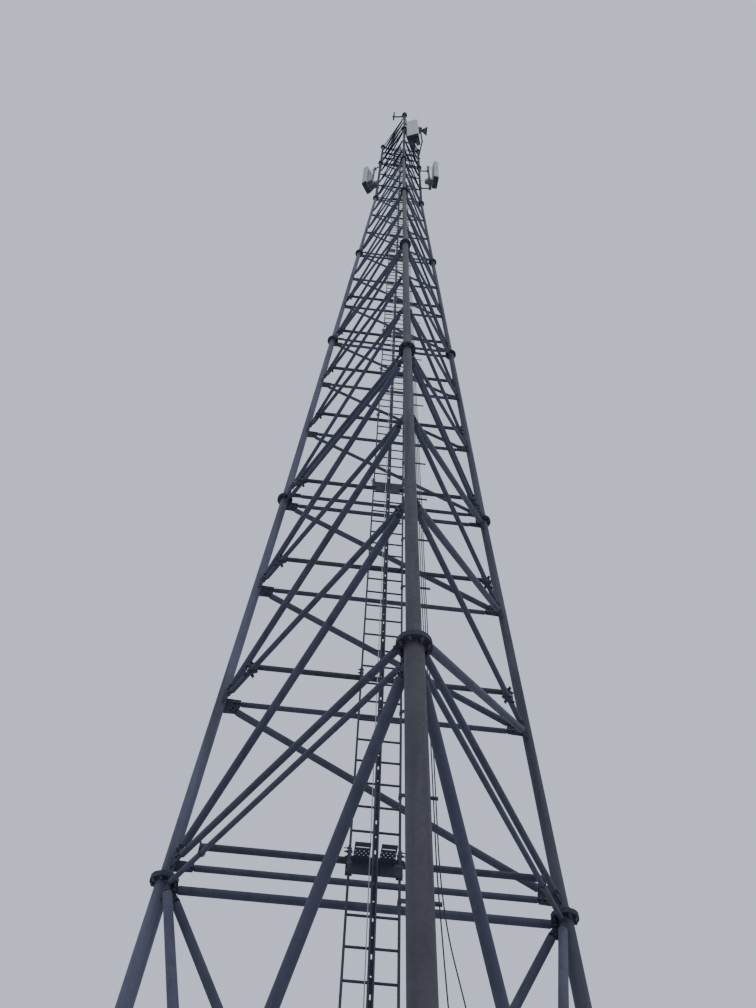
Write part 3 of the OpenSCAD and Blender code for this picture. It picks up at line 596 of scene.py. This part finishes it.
# Safety rope: a taut wire rope of six strands beside the rail, held at each end by a sleeve with two nuts in a
# bracket on a rung.
rope_d, rope_out, rope_before, rope_over = 0.010, 0.020, 0.020, 0.06
strands, strand_dip, lay_steps, lay = 6, 0.72, 6, 0.15
rope_x, rope_y = -rail_w / 2 - rope_out, rail_back - rail_depth - rope_before
rope_ends = rung_z(1), rung_z(rung_n - 1)
strand_steel = galvanised("strand_steel", (0.36, 0.36, 0.38), (0.20, 0.20, 0.21), 0.35, 0.6, streak=0.3)
rope = bmesh.new()
ring = bmesh.ops.create_circle(rope, radius=rope_d / 2, segments=2 * strands)["verts"]
for v in ring[::2]:
    v.co *= strand_dip
rope_length = rope_ends[1] - rope_ends[0] + 2 * rope_over
turns = round(rope_length / lay)
bmesh.ops.spin(rope, geom=rope.edges[:], cent=(0, 0, 0), axis=(0, 0, 1), angle=math.tau * turns,
               steps=turns * lay_steps, dvec=(0, 0, rope_length / (turns * lay_steps)))
bmesh.ops.holes_fill(rope, edges=rope.edges[:], sides=2 * strands)
bmesh.ops.translate(rope, verts=rope.verts[:], vec=(rope_x, rope_y, rope_ends[0] - rope_over))
holder_w, holder_t, holder_front, sleeve_r, sleeve_nut_r = 0.036, 0.008, 0.015, 0.008, 0.012
holder_deep = ladder_mid - rung_front - rope_y + holder_front
for z, way in zip(rope_ends, (-1, 1)):
    join(rope, plate(holder_w, holder_deep, holder_t),
         at(rope_x - 0.002, rope_y - holder_front + holder_deep / 2, z))
    fitting = rounds((sleeve_r, -0.010, 0.052, 12), (sleeve_nut_r, 0.004, 0.014, 6),
                     (sleeve_nut_r, 0.015, 0.025, 6))
    join(rope, fitting, at(rope_x, rope_y, z) @ turned(90 - 90 * way, "X"))
outward(rope)
finish_piece("wire_rope", rope, strand_steel, "wire_rope", "safety_rope")

# Rest platforms: a band across the ladder below each joint, bolted to a plate behind each stile, with two
# foot plates on pins along its top. Each has a long slot and five rows of holes for grip. Those of the lowest
# platform lie open, and the others hang down in front of their band.
step_w, step_deep, step_t, step_lip, step_strip, step_slot = 0.135, 0.257, 0.006, 0.014, 0.042, 0.018
grip_d, grip_pitch, grip_row, grip_first, grip_rows, row_holes = 0.015, 0.037, 0.030, 0.102, 5, 4
step_side, step_clear, pin_r, band_long, backing_w, backing_t = 0.008, 0.004, 0.005, 0.456, 0.060, 0.006
fixing_x, fixing_lift = (-0.018, 0.018), (-0.034, 0.034)
step_right = rail_w / 2 + step_clear
step_left = step_right + rope_out + rope_d / 2
holes = [(0, step_strip + step_slot / 2 - step_deep / 2, step_slot / 2, step_w - 2 * step_side - step_slot, 0)]
for row in range(grip_rows):
    count, y = row_holes - row % 2, grip_first + row * grip_row - step_deep / 2
    holes += [((c - (count - 1) / 2) * grip_pitch, y, grip_d / 2, 0, 0) for c in range(count)]
foot_plate = thicken(sheet_with_holes(step_w, step_deep, holes), (0, 0, step_t))
join(foot_plate, plate(step_w, step_t, step_lip, 0.001),
     at(0, (step_t - step_deep) / 2, step_t / 2 + step_lip / 2))
pin = rounds((pin_r, -step_w / 2 + 0.010, step_w / 2 - 0.010, 10))
platform = repeated(plate(band_long, band_t, band_h, 0.0015), [at(0, -band_t / 2, 0)])
join(platform, plate(backing_w, backing_t, band_h - 0.020, 0.003),
     *(at(s * ladder_w / 2, stile_depth + ring_gap + backing_t / 2, 0) for s in (-1, 1)))
step_x = -step_left - step_w / 2, step_right + step_w / 2
join(platform, pin, *(at(x, -band_t, band_h / 2 - pin_r) @ turned(90, "Y") for x in step_x))
joints = [at(0, ladder_front - ring_gap, band_z(i)) for i in range(1, sections)]
platforms = repeated(platform, joints)
opened = [joints[0] @ at(x, 0.001 - band_t - step_deep / 2, band_h / 2 - step_t) for x in step_x]
folded = [joint @ at(x, -band_t - 0.002, band_h / 2 - step_deep / 2) @ turned(90, "X")
          for joint in joints[1:] for x in step_x]
join(platforms, foot_plate, *opened, *folded)
finish_piece("foot_platforms", platforms, ladder_steel, "ladder_steel", "rest_platforms")
places = [joint @ at(s * ladder_w / 2 + x, -band_t, lift) @ turned(90, "X")
          for joint in joints for s in (-1, 1) for x in fixing_x for lift in fixing_lift]
finish_piece("platform_bolts", repeated(bolt(0.010, band_t + stile_depth + backing_t, 0.010), places),
             bolt_steel, "ladder_steel")

# Ladder splices: at each joint a flat bar outside each stile bridges two lengths of the ladder. The thread ends
# of its bolts stick out sideways.
splice_w, splice_long, splice_t, splice_stub, splice_lifts = 0.034, 0.150, 0.006, 0.026, (-0.078, 0.002, 0.038)
splice = repeated(plate(splice_t, splice_w, splice_long),
                  [at(s * (stile_w / 2 + ladder_w / 2 + splice_t / 2), 0, -0.020) for s in (-1, 1)])
join(splice, bolt(0.010, stile_w + splice_t, splice_stub),
     *(at(s * (ladder_w / 2 - stile_w / 2), 0, lift) @ turned(-s * 90, "Y")
       for s in (-1, 1) for lift in splice_lifts))
places = [at(0, ladder_mid, level(i)) for i in range(1, sections)]
finish_piece("ladder_splices", repeated(splice, places), ladder_steel, "ladder_steel")

# Cable brackets: flat bars on a collar round the right stile. A small saddle with two screws holds each
# feeder cable on every bracket that it passes.
give(ladder_steel, "cable_brackets")
feeder_d, bracket_t, bracket_reach, bracket_end = 0.012, 0.006, 0.565, 0.020
first_bracket, above_rung, brackets_each, brackets_in_crown = 0.6, 0.56, 6, 3
saddle_w, saddle_t, saddle_x, screw_x, screw_r, screw_h = 0.014, 0.002, 0.015, 0.017, 0.0042, 0.005
bracket_y = ladder_front - ring_gap - bracket_t
feeder_y = bracket_y - ring_gap - feeder_d / 2
feeder_runs = [
    [(0.750, 0), (0.740, 0.8), (0.700, 2.6), (0.620, 4.2), (0.579, 4.82), (0.552, 5.34), (0.530, 5.83),
     (0.520, 6.4), (0.480, 9.6), (0.420, 14.8), (0.340, 22.2), (0.300, 31.6)],
    [(1.080, 0), (1.060, 0.9), (0.960, 2.9), (0.830, 4.2), (0.711, 4.82), (0.605, 5.34), (0.557, 5.83),
     (0.543, 6.4), (0.503, 9.6), (0.443, 14.8), (0.363, 22.2), (0.323, 31.8)],
    [(0.520, 0), (0.515, 1.2), (0.500, 4.8), (0.490, 6.4), (0.455, 9.6), (0.395, 14.8), (0.315, 22.2),
     (0.277, 31.4)]]
places = []
for i in range(sections):
    count = brackets_in_crown if i == sections - 1 else brackets_each
    for k in range(count):
        z = level(i) + (k + first_bracket) * (level(i + 1) - level(i)) / count
        z = rung_z(math.floor((z - rung_foot) / rung_pitch - above_rung + 0.5) + above_rung)
        for run in feeder_runs:
            for (x0, z0), (x1, z1) in zip(run, run[1:]):
                x = x0 + (x1 - x0) * (z - z0) / (z1 - z0)
                if z0 <= z < z1 and x < bracket_reach - bracket_end:
                    places.append(at(x, bracket_y, z))
saddle = bmesh.new()
section = at((feeder_d + saddle_t) / 2, 0, 0) @ Matrix.Diagonal((saddle_t, 1, saddle_w, 1)) @ turned(90, "X")
bmesh.ops.create_grid(saddle, x_segments=1, y_segments=1, size=0.5, matrix=section)
bmesh.ops.spin(saddle, geom=saddle.faces[:], cent=(0, 0, 0), axis=(0, 0, -1), angle=math.pi, steps=8)
bmesh.ops.translate(saddle, verts=saddle.verts[:], vec=(0, -ring_gap - feeder_d / 2, 0))
outward(saddle)
for s in (-1, 1):
    join(saddle, plate(0.016, saddle_t, saddle_w, 0.0005), at(s * saddle_x, -ring_gap - saddle_t / 2, 0))
    join(saddle, rounds((screw_r, 0, screw_h, 6)), at(s * screw_x, -ring_gap - saddle_t, 0) @ turned(90, "X"))
finish_piece("cable_saddles", repeated(saddle, places), bolt_steel, "ladder_steel")

# Feeder cables: three black cables. They climb from the ground, free up to the first bracket within reach, then
# from bracket to bracket up the ladder, and cross over to a radio unit each.
antenna_h, antenna_w, antenna_t, antenna_gap, antenna_tilt = 2.900, 0.440, 0.200, 0.080, 1.5
mount_d, mount_reach, mount_az = 0.0761, (0.410, 0.360, 0.254), (15, -7, 148.7)
antenna_up, facing, top_leg_d = (0.400, 1.150, 0.820), (-110, 3, 145), leg_d[-1]
arm_horizontals, arm_offsets = ((2, 3), (1, 3), (1, 3)), ((-0.675, -0.340), (0.290, -0.490), (-0.280, -0.490))
unit, unit_back, unit_gap, unit_side = (0.240, 0.150, 0.420), 0.020, 0.020, (1, 1, -1)
unit_up = (0.3, 1.0), (0.3, -0.9), (0.3, -0.6)
unit_mid, feeder_plug, straight_end = mount_d / 2 + unit_gap + unit[1] / 2, -0.105, 0.16


def arm_z(k, a):
    """The height of one of the two arms of an antenna pipe."""
    return node_z(5, arm_horizontals[k][a], 0) + arm_offsets[k][a]


def antenna_z(k):
    """The height of the underside of an antenna."""
    return arm_z(k, 0) + antenna_up[k]


def at_pipe(k, z=0.0):
    """The frame of an antenna pipe: X points to where the antenna faces."""
    leg = tuple(leg_az)[k]
    a = math.radians(mount_az[k])
    spot = leg_at(leg, tower_top) + mount_reach[k] * Vector((math.cos(a), math.sin(a), 0))
    return at(spot.x, spot.y, z) @ turned(facing[k], "Z")


def sheathed(name, colour, dust):
    """Black sheath with a little dust on it."""
    paint, tree, shader, place = new_finish(name)
    dusty = spread(tree, noise(tree, place, 5, 5), 0.45, 0.75, 0, 0.6)
    surface(tree, shader, place, blend(tree, dusty, colour, dust), (40, 2, 0.42, 0.6), (200, 2, 0.15, 0.0005))
    return paint


def cable_piece(name, points, thick, paint, node):
    """A cable as one smooth curve through its points."""
    curve = bpy.data.curves.new(name, "CURVE")
    curve.dimensions, curve.use_fill_caps = "3D", True
    curve.bevel_depth, curve.bevel_resolution, curve.resolution_u = thick / 2, 2, 6
    line = curve.splines.new("BEZIER")
    line.bezier_points.add(len(points) - 1)
    for knot, before, point, after in zip(line.bezier_points, points[:1] + points[:-1], points,
                                          points[1:] + points[-1:]):
        way = (after - before).normalized()
        knot.co = point
        knot.handle_left_type = knot.handle_right_type = "FREE"
        knot.handle_left = point - way * (point - before).length / 3
        knot.handle_right = point + way * (after - point).length / 3
    curve.materials.append(paint)
    piece = add_object(name, curve)
    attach(piece, "root")
    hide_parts(node)
    return piece


sheath = sheathed("cable_sheath", (0.010, 0.010, 0.012), (0.035, 0.034, 0.034))
feeder_tops = [
    [(0.430, 0.130, 32.6), (0.550, -0.110, 33.08), (0.600, -0.430, 33.5), (0.550, -0.690, 33.65)],
    [(0.520, 0.300, 32.35), (0.720, 0.270, 32.78), (0.920, 0.320, 33.08), (0.960, 0.440, 33.4)],
    [(0.310, 0.415, 31.85), (-0.250, 0.415, 32.35), (-0.600, 0.600, 32.48)]]
for k, (run, over) in enumerate(zip(feeder_runs, feeder_tops)):
    plug = at_pipe(k, antenna_z(k) + unit_up[k][0]) @ Vector((feeder_plug, unit_side[k] * unit_mid, 0))
    points = [Vector((x, feeder_y, z)) for x, z in run] + [leg_shift + Vector(p) for p in over]
    points += [plug - Vector((0, 0, straight_end)), plug - Vector((0, 0, ring_gap))]
    cable_piece(f"feeder_cable_{k + 1}", points, feeder_d, sheath, "feeder_cables")

# Jumper cables: three short black cables a panel. Each hangs from a socket under it in a round loop, and
# comes up into the radio unit beside it.
jumper_d, loop_down, loop_step, plug_pitch, first_plug = 0.014, 0.250, 15, 0.045, -0.035
socket_x, socket_down, socket_pitch = 0.035, 0.045, 0.088
antenna_back = mount_d / 2 + antenna_gap


def socket_y(j):
    return (j - 1.5) * socket_pitch


for k in range(3):
    s, there = unit_side[k], at_pipe(k, antenna_z(k))
    for j in range(1, 4):
        above = Vector((antenna_back + antenna_t / 2 - socket_x, s * socket_y(j), 0))
        below = Vector((first_plug + (j - 1) * plug_pitch, s * unit_mid, 0))
        middle, half = (above + below) / 2, (above - below) / 2
        points = [above - Vector((0, 0, socket_down + ring_gap))]
        for a in (math.radians(turn) for turn in range(0, 181, loop_step)):
            drop = loop_down - half.length * (1 - math.sin(a))
            points.append(middle + half * math.cos(a) - Vector((0, 0, drop)))
        points.append(below + Vector((0, 0, unit_up[k][0] - ring_gap)))
        cable_piece(f"jumper_cable_{k + 1}_{j}", [there @ p for p in points], jumper_d, sheath, "jumper_cables")

# Panel antennas: a pale glass-fibre cover with rounded sides and a cap at each end. The lower cap is dark and
# carries eight sockets.
panel_cap, cap_down, cap_lap, cap_top, round_side = 0.004, 0.012, 0.060, 0.004, 0.045


def coated(name, colour, grime, dullness=0.5, streak=0.35, metallic=0.0):
    """Moulded or painted case: one even colour, with rain streaks and a fine grain."""
    paint, tree, shader, place = new_finish(name, metallic)
    clouds = spread(tree, noise(tree, place, 1.5, 4), 0.3, 0.7, 0, 0.35)
    runs = spread(tree, noise(tree, place, 14, 4, (1, 1, 0.05)), 0.48, 0.75, 0, streak)
    colour = blend(tree, clouds, colour, tuple(c * 0.85 for c in colour))
    surface(tree, shader, place, blend(tree, runs, colour, grime), (25, 3, dullness - 0.06, dullness + 0.12),
            (300, 2, 0.2, 0.0004))
    return paint


def rounded_block(long, wide, low, high, corner, edge, segments=6):
    """A block about the Z axis with round upright corners and softened ends."""
    shape = bmesh.new()
    bmesh.ops.create_cube(shape, size=1, matrix=at(0, 0, (low + high) / 2)
                          @ Matrix.Diagonal((long, wide, high - low, 1)))
    soften(shape, [e for e in shape.edges if rise(e) > (high - low) / 2], corner, segments)
    soften(shape, [e for e in shape.edges if rise(e) < 1e-6], edge, 2)
    return shape


radome_shell = coated("radome_shell", (0.35, 0.355, 0.36), (0.17, 0.165, 0.16))
dark_cap = coated("dark_cap", (0.030, 0.032, 0.036), (0.07, 0.068, 0.065))
undersides = bmesh.new()
for k, leg in enumerate(leg_az):
    hang = at_pipe(k, antenna_z(k)) @ at(antenna_back + antenna_t / 2, 0, 0) @ turned(antenna_tilt, "Y")
    cap = antenna_t + panel_cap, antenna_w + panel_cap
    cover = rounded_block(antenna_t, antenna_w, 0, antenna_h - cap_top, round_side, 0.006)
    join(cover, rounded_block(*cap, antenna_h - cap_lap, antenna_h, round_side, 0.010))
    finish_piece(f"{leg}_antenna_cover", repeated(cover, [hang]), radome_shell, "antenna_shell",
                 f"{leg}_antenna")
    low_cap = rounded_block(*cap, -cap_down, cap_lap, round_side, 0.005)
    socket = rounds((0.013, -socket_down, -cap_down, 12), (0.019, -0.020, -cap_down, 12),
                    (0.016, -socket_down + 0.004, -0.026, 6))
    join(low_cap, socket, *(at(x, socket_y(j), 0) for x in (-socket_x, socket_x) for j in range(4)))
    join(undersides, low_cap, hang)
finish_piece("antenna_undersides", undersides, dark_cap, "antenna_shell")

# Antenna brackets: at two heights, a pair of plates clamps the pipe with two long bolts, and two cheeks with a
# pivot bolt carry the panel from them.
mount_steel = galvanised("mount_steel", (0.060, 0.063, 0.080), (0.032, 0.032, 0.036), 0.55, 0.2, 0.3)
brackets = bmesh.new()
cheek_y, cheek_t, cheek_in, bracket_h, bracket_end = 0.035, 0.006, 0.010, 0.060, 0.350
jaw_w, jaw_t, jaw_bolt_y, mount_bolt = 0.124, 0.008, 0.049, 0.012
for k in range(3):
    for z in (bracket_end, antenna_h - bracket_end):
        there = at_pipe(k, antenna_z(k) + z + bracket_h / 2)
        panel_back = antenna_back + z * math.sin(math.radians(antenna_tilt)) + cheek_in
        jaw_x, cheek = mount_d / 2 + jaw_t / 2, panel_back - mount_d / 2 - jaw_t
        join(brackets, plate(jaw_t, jaw_w, bracket_h, 0.002),
             *(there @ at(s * (jaw_x + ring_gap), 0, 0) for s in (-1, 1)))
        join(brackets, plate(cheek, cheek_t, bracket_h, 0.002),
             *(there @ at(panel_back - cheek / 2, s * cheek_y, 0) for s in (-1, 1)))
        join(brackets, bolt(mount_bolt, mount_d + 2 * jaw_t, 0.020),
             *(there @ at(mount_d / 2 + jaw_t, s * jaw_bolt_y, 0) @ turned(90, "Y") for s in (-1, 1)))
        join(brackets, bolt(mount_bolt, 2 * cheek_y + cheek_t, 0.006),
             there @ at(panel_back - cheek / 2, cheek_y + cheek_t / 2, 0) @ turned(-90, "X"))
finish_piece("antenna_brackets", brackets, mount_steel, "mount_steel")

# Antenna pipes and arms: galvanised tube. Each arm ends in a split collar round the leg with four bolts, and
# in a plate with two bent rods round the pipe.
give(mount_steel, *(f"{leg}_antenna_mount" for leg in leg_az))
ear_t, ear_w, ear_in, ear_gap, collar_t, collar_h = 0.008, 0.034, 0.004, 0.008, 0.012, 0.120
seat_w, seat_h, seat_corner, seat_rods = 0.130, 0.110, 0.010, (-0.038, 0.038)


def collar_ears(high):
    """Two pairs of bolted ears on a collar, on either side of the X axis."""
    y, x = top_leg_d / 2 + collar_t + ear_w / 2 - ear_in, (ear_gap + ear_t) / 2
    shape = repeated(plate(ear_t, ear_w, high, 0.002), [at(a * x, b * y, 0) for a in (-1, 1) for b in (-1, 1)])
    return join(shape, bolt(mount_bolt, ear_gap + 2 * ear_t, 0.008),
                *(at(x + ear_t / 2, b * y, c * high / 4) @ turned(90, "Y") for b in (-1, 1) for c in (-1, 1)))


clamps = bmesh.new()
for k, leg in enumerate(leg_az):
    for a in range(2):
        join(clamps, collar_ears(collar_h),
             at(*leg_at(leg, tower_top).xy, arm_z(k, a)) @ turned(mount_az[k], "Z"))
        pipe = at_pipe(k, arm_z(k, a)) @ turned(mount_az[k] + 180 - facing[k], "Z")
        seat = plate(jaw_t, seat_w, seat_h, seat_corner, 2)
        join(seat, hook(mount_d / 2, small_rod, mount_d / 2 + jaw_t + 0.022),
             *(at(-mount_d / 2 - jaw_t / 2, 0, z) @ turned(90, "Y") for z in seat_rods))
        join(clamps, seat, pipe @ at(mount_d / 2 + jaw_t / 2, 0, 0))
finish_piece("mount_clamps", clamps, bolt_steel, "mount_steel")

# Radio units: a cast case with cooling fins on its outer side and a handle on top, held on the pipe by two
# plates with a bent rod each. The cables' black boots plug into the underside.
radio_paint = coated("radio_paint", (0.095, 0.098, 0.110), (0.06, 0.058, 0.058), 0.5)
fins, fin_t, fin_deep, fin_foot, fin_short, fin_share = 15, 0.004, 0.040, 0.004, 0.060, 0.94
handle_r, handle_y, handle_down, handle_leg = 0.045, -0.020, 0.062, 0.012
grip_w, grip_t, grip_h, grip_end, plug_x = 0.110, 0.014, 0.046, 0.080, (-0.085, -0.015, 0.030, 0.075)
case_deep = unit[1] - fin_deep
case = rounded_block(unit[0], case_deep, 0.010, unit[2] - 0.020, 0.010, 0.006, 3)
bmesh.ops.translate(case, verts=case.verts[:], vec=(0, (case_deep - unit[1]) / 2, 0))
fin_pitch, fin_y = unit[0] * fin_share / (fins - 1), (unit[1] - fin_deep - fin_foot) / 2
join(case, plate(fin_t, fin_deep + fin_foot, unit[2] - fin_short, 0.0015),
     *(at((n - (fins - 1) / 2) * fin_pitch, fin_y, unit[2] / 2) for n in range(fins)))
join(case, hook(handle_r, small_rod, handle_leg), at(0, handle_y, unit[2] - handle_down) @ turned(180, "X")
     @ turned(90, "Z") @ at(0, 0, -handle_leg))
join(case, rounds((0.014, 0, 0.012, 12)), *(at(x, 0, 0) for x in plug_x))
places, held = [], bmesh.new()
for k in range(3):
    for u in range(2):
        side = unit_side[k] * (1 - 2 * u)
        there = at_pipe(k, antenna_z(k) + unit_up[k][u])
        flip = Matrix.Diagonal((1, side, 1, 1))
        places.append(there @ at(-unit_back, side * unit_mid, 0) @ flip)
        grip = plate(grip_w, grip_t, grip_h, 0.003)
        join(grip, hook(mount_d / 2, small_rod, mount_d / 2 + 0.036),
             at(0, -mount_d / 2 - grip_t / 2, 0) @ turned(90, "Z") @ turned(90, "Y"))
        join(held, grip, *(there @ turned(90 - 90 * side, "Z") @ at(0, mount_d / 2 + grip_t / 2, h)
                           for h in (grip_end, unit[2] - grip_end)))
cases = repeated(case, places)
outward(cases)
finish_piece("radio_cases", cases, radio_paint, "radio_case", "remote_units")
finish_piece("radio_grips", held, mount_steel, "mount_steel")

boot = rounds((0.0125, -0.050, 0, 12), (0.0145, -0.012, 0, 12))
places = []
for k in range(3):
    s, panel_x = unit_side[k], antenna_back + antenna_t / 2 - socket_x
    under = at_pipe(k, antenna_z(k) + unit_up[k][0])
    plugs = [feeder_plug, *(first_plug + j * plug_pitch for j in range(3))]
    places += [under @ at(x, s * unit_mid, 0) for x in plugs]
    places += [at_pipe(k, antenna_z(k)) @ at(panel_x, s * socket_y(j), -socket_down) for j in range(1, 4)]
finish_piece("cable_boots", repeated(boot, places), sheath, "cable_sheath")

# Obstruction light: a grey cast base and cap with a ribbed red lens between them. Six bolts hold its foot on
# top of the front leg.
lamp_place = [Matrix.Translation(leg_at("front", tower_top))]


def turned_shape(outline):
    """A shape turned on the Z axis from its outline, given as distances out and up."""
    shape = bmesh.new()
    points = [shape.verts.new((out, 0, high)) for out, high in outline]
    edges = [shape.edges.new(pair) for pair in zip(points, points[1:])]
    bmesh.ops.spin(shape, geom=edges + points, cent=(0, 0, 0), axis=(0, 0, 1), angle=math.tau, steps=32,
                   use_merge=True)
    bmesh.ops.remove_doubles(shape, verts=shape.verts[:], dist=0.0001)
    outward(shape)
    return shape


lamp_case = turned_shape([(0, 0), (0.075, 0), (0.075, 0.020), (0.047, 0.022), (0.045, 0.058), (0.110, 0.060),
                          (0.115, 0.066), (0.115, 0.100), (0.108, 0.110), (0, 0.110)])
join(lamp_case, turned_shape([(0, 0.240), (0.106, 0.240), (0.110, 0.246), (0.110, 0.258), (0.098, 0.270),
                              (0.030, 0.272), (0.028, 0.292), (0.024, 0.295), (0, 0.295)]))
lamp_bolt_r, lamp_foot_t = 0.060, 0.020
join(lamp_case, bolt(0.010, lamp_foot_t, 0.0),
     *(turned(a, "Z") @ at(lamp_bolt_r, 0, lamp_foot_t) for a in range(0, 360, 60)))
case_paint = coated("lamp_case_paint", (0.16, 0.16, 0.165), (0.07, 0.068, 0.066), 0.45, metallic=0.2)
finish_piece("lamp_case", repeated(lamp_case, lamp_place), case_paint, "mount_steel")

groove_r, rib_r, lens_low, lens_h, rib_steps = 0.088, 0.094, 0.106, 0.138, 22
ribs = [(groove_r if n % 2 else rib_r, lens_low + n * lens_h / rib_steps) for n in range(rib_steps + 1)]
red_lens, tree, glass, place = new_finish("red_lens")
glass.inputs["Base Color"].default_value = (0.24, 0.015, 0.010, 1)
glass.inputs["Roughness"].default_value = 0.18
glass.inputs["Coat Weight"].default_value = 0.6
roughen(tree, noise(tree, place, 90, 2), glass, 0.08, 0.0005)
lens = turned_shape([(0, lens_low - 0.002), *ribs, (0, 0.246)])
finish_piece("lamp_lens", repeated(lens, lamp_place), red_lens, "beacon_lens", "beacon")

# Side arm and horn antenna: bent tube arms clamped to the legs. The horn is a painted sheet-metal flare with a
# bolted rim, closed by a pale cover.
give(mount_steel, "side_arm")
horn_paint = coated("horn_paint", (0.085, 0.088, 0.100), (0.05, 0.049, 0.050), 0.5)
give(horn_paint, "horn_antenna")
ears = bmesh.new()
side_z, side_az, side_collar = node_z(6, 3, 0) - 0.240, 173, 0.100
horn_z, horn_az = node_z(6, 2, 0) - 0.375, -90
join(ears, collar_ears(side_collar), at(*leg_at("front", tower_top).xy, side_z) @ turned(side_az, "Z"))
join(ears, collar_ears(collar_h), at(*leg_at("right", tower_top).xy, horn_z) @ turned(horn_az, "Z"))
finish_piece("arm_collar_ears", ears, bolt_steel, "mount_steel")

mouth_out, mouth_y, mouth_up = 0.202, -0.600, 0.240
mouth = leg_shift + Vector((leg_at("right", tower_top).x + mouth_out, mouth_y, horn_z + mouth_up))
mouth_place = [Matrix.Translation(mouth) @ turned(90, "Y")]
mouth_w, mouth_h, rim_w, rim_t, cover_gap = 0.320, 0.260, 0.016, 0.006, 0.003
rim = plate(mouth_h + 2 * rim_w, mouth_w + 2 * rim_w, rim_t, 0.012, 3)
join(rim, bolt(0.006, rim_t, 0.0),
     *(at(a * (mouth_h + rim_w) / 2, b * (mouth_w + rim_w) / 2, rim_t / 2)
       for a in (-1, 0, 1) for b in (-1, 0, 1) if a or b))
finish_piece("horn_rim", repeated(rim, mouth_place), horn_paint, "horn")
cover = rounded_block(mouth_h - 2 * cover_gap, mouth_w - 2 * cover_gap, 0.002, 0.016, 0.014, 0.005, 4)
finish_piece("horn_cover", repeated(cover, mouth_place), radome_shell, "horn")
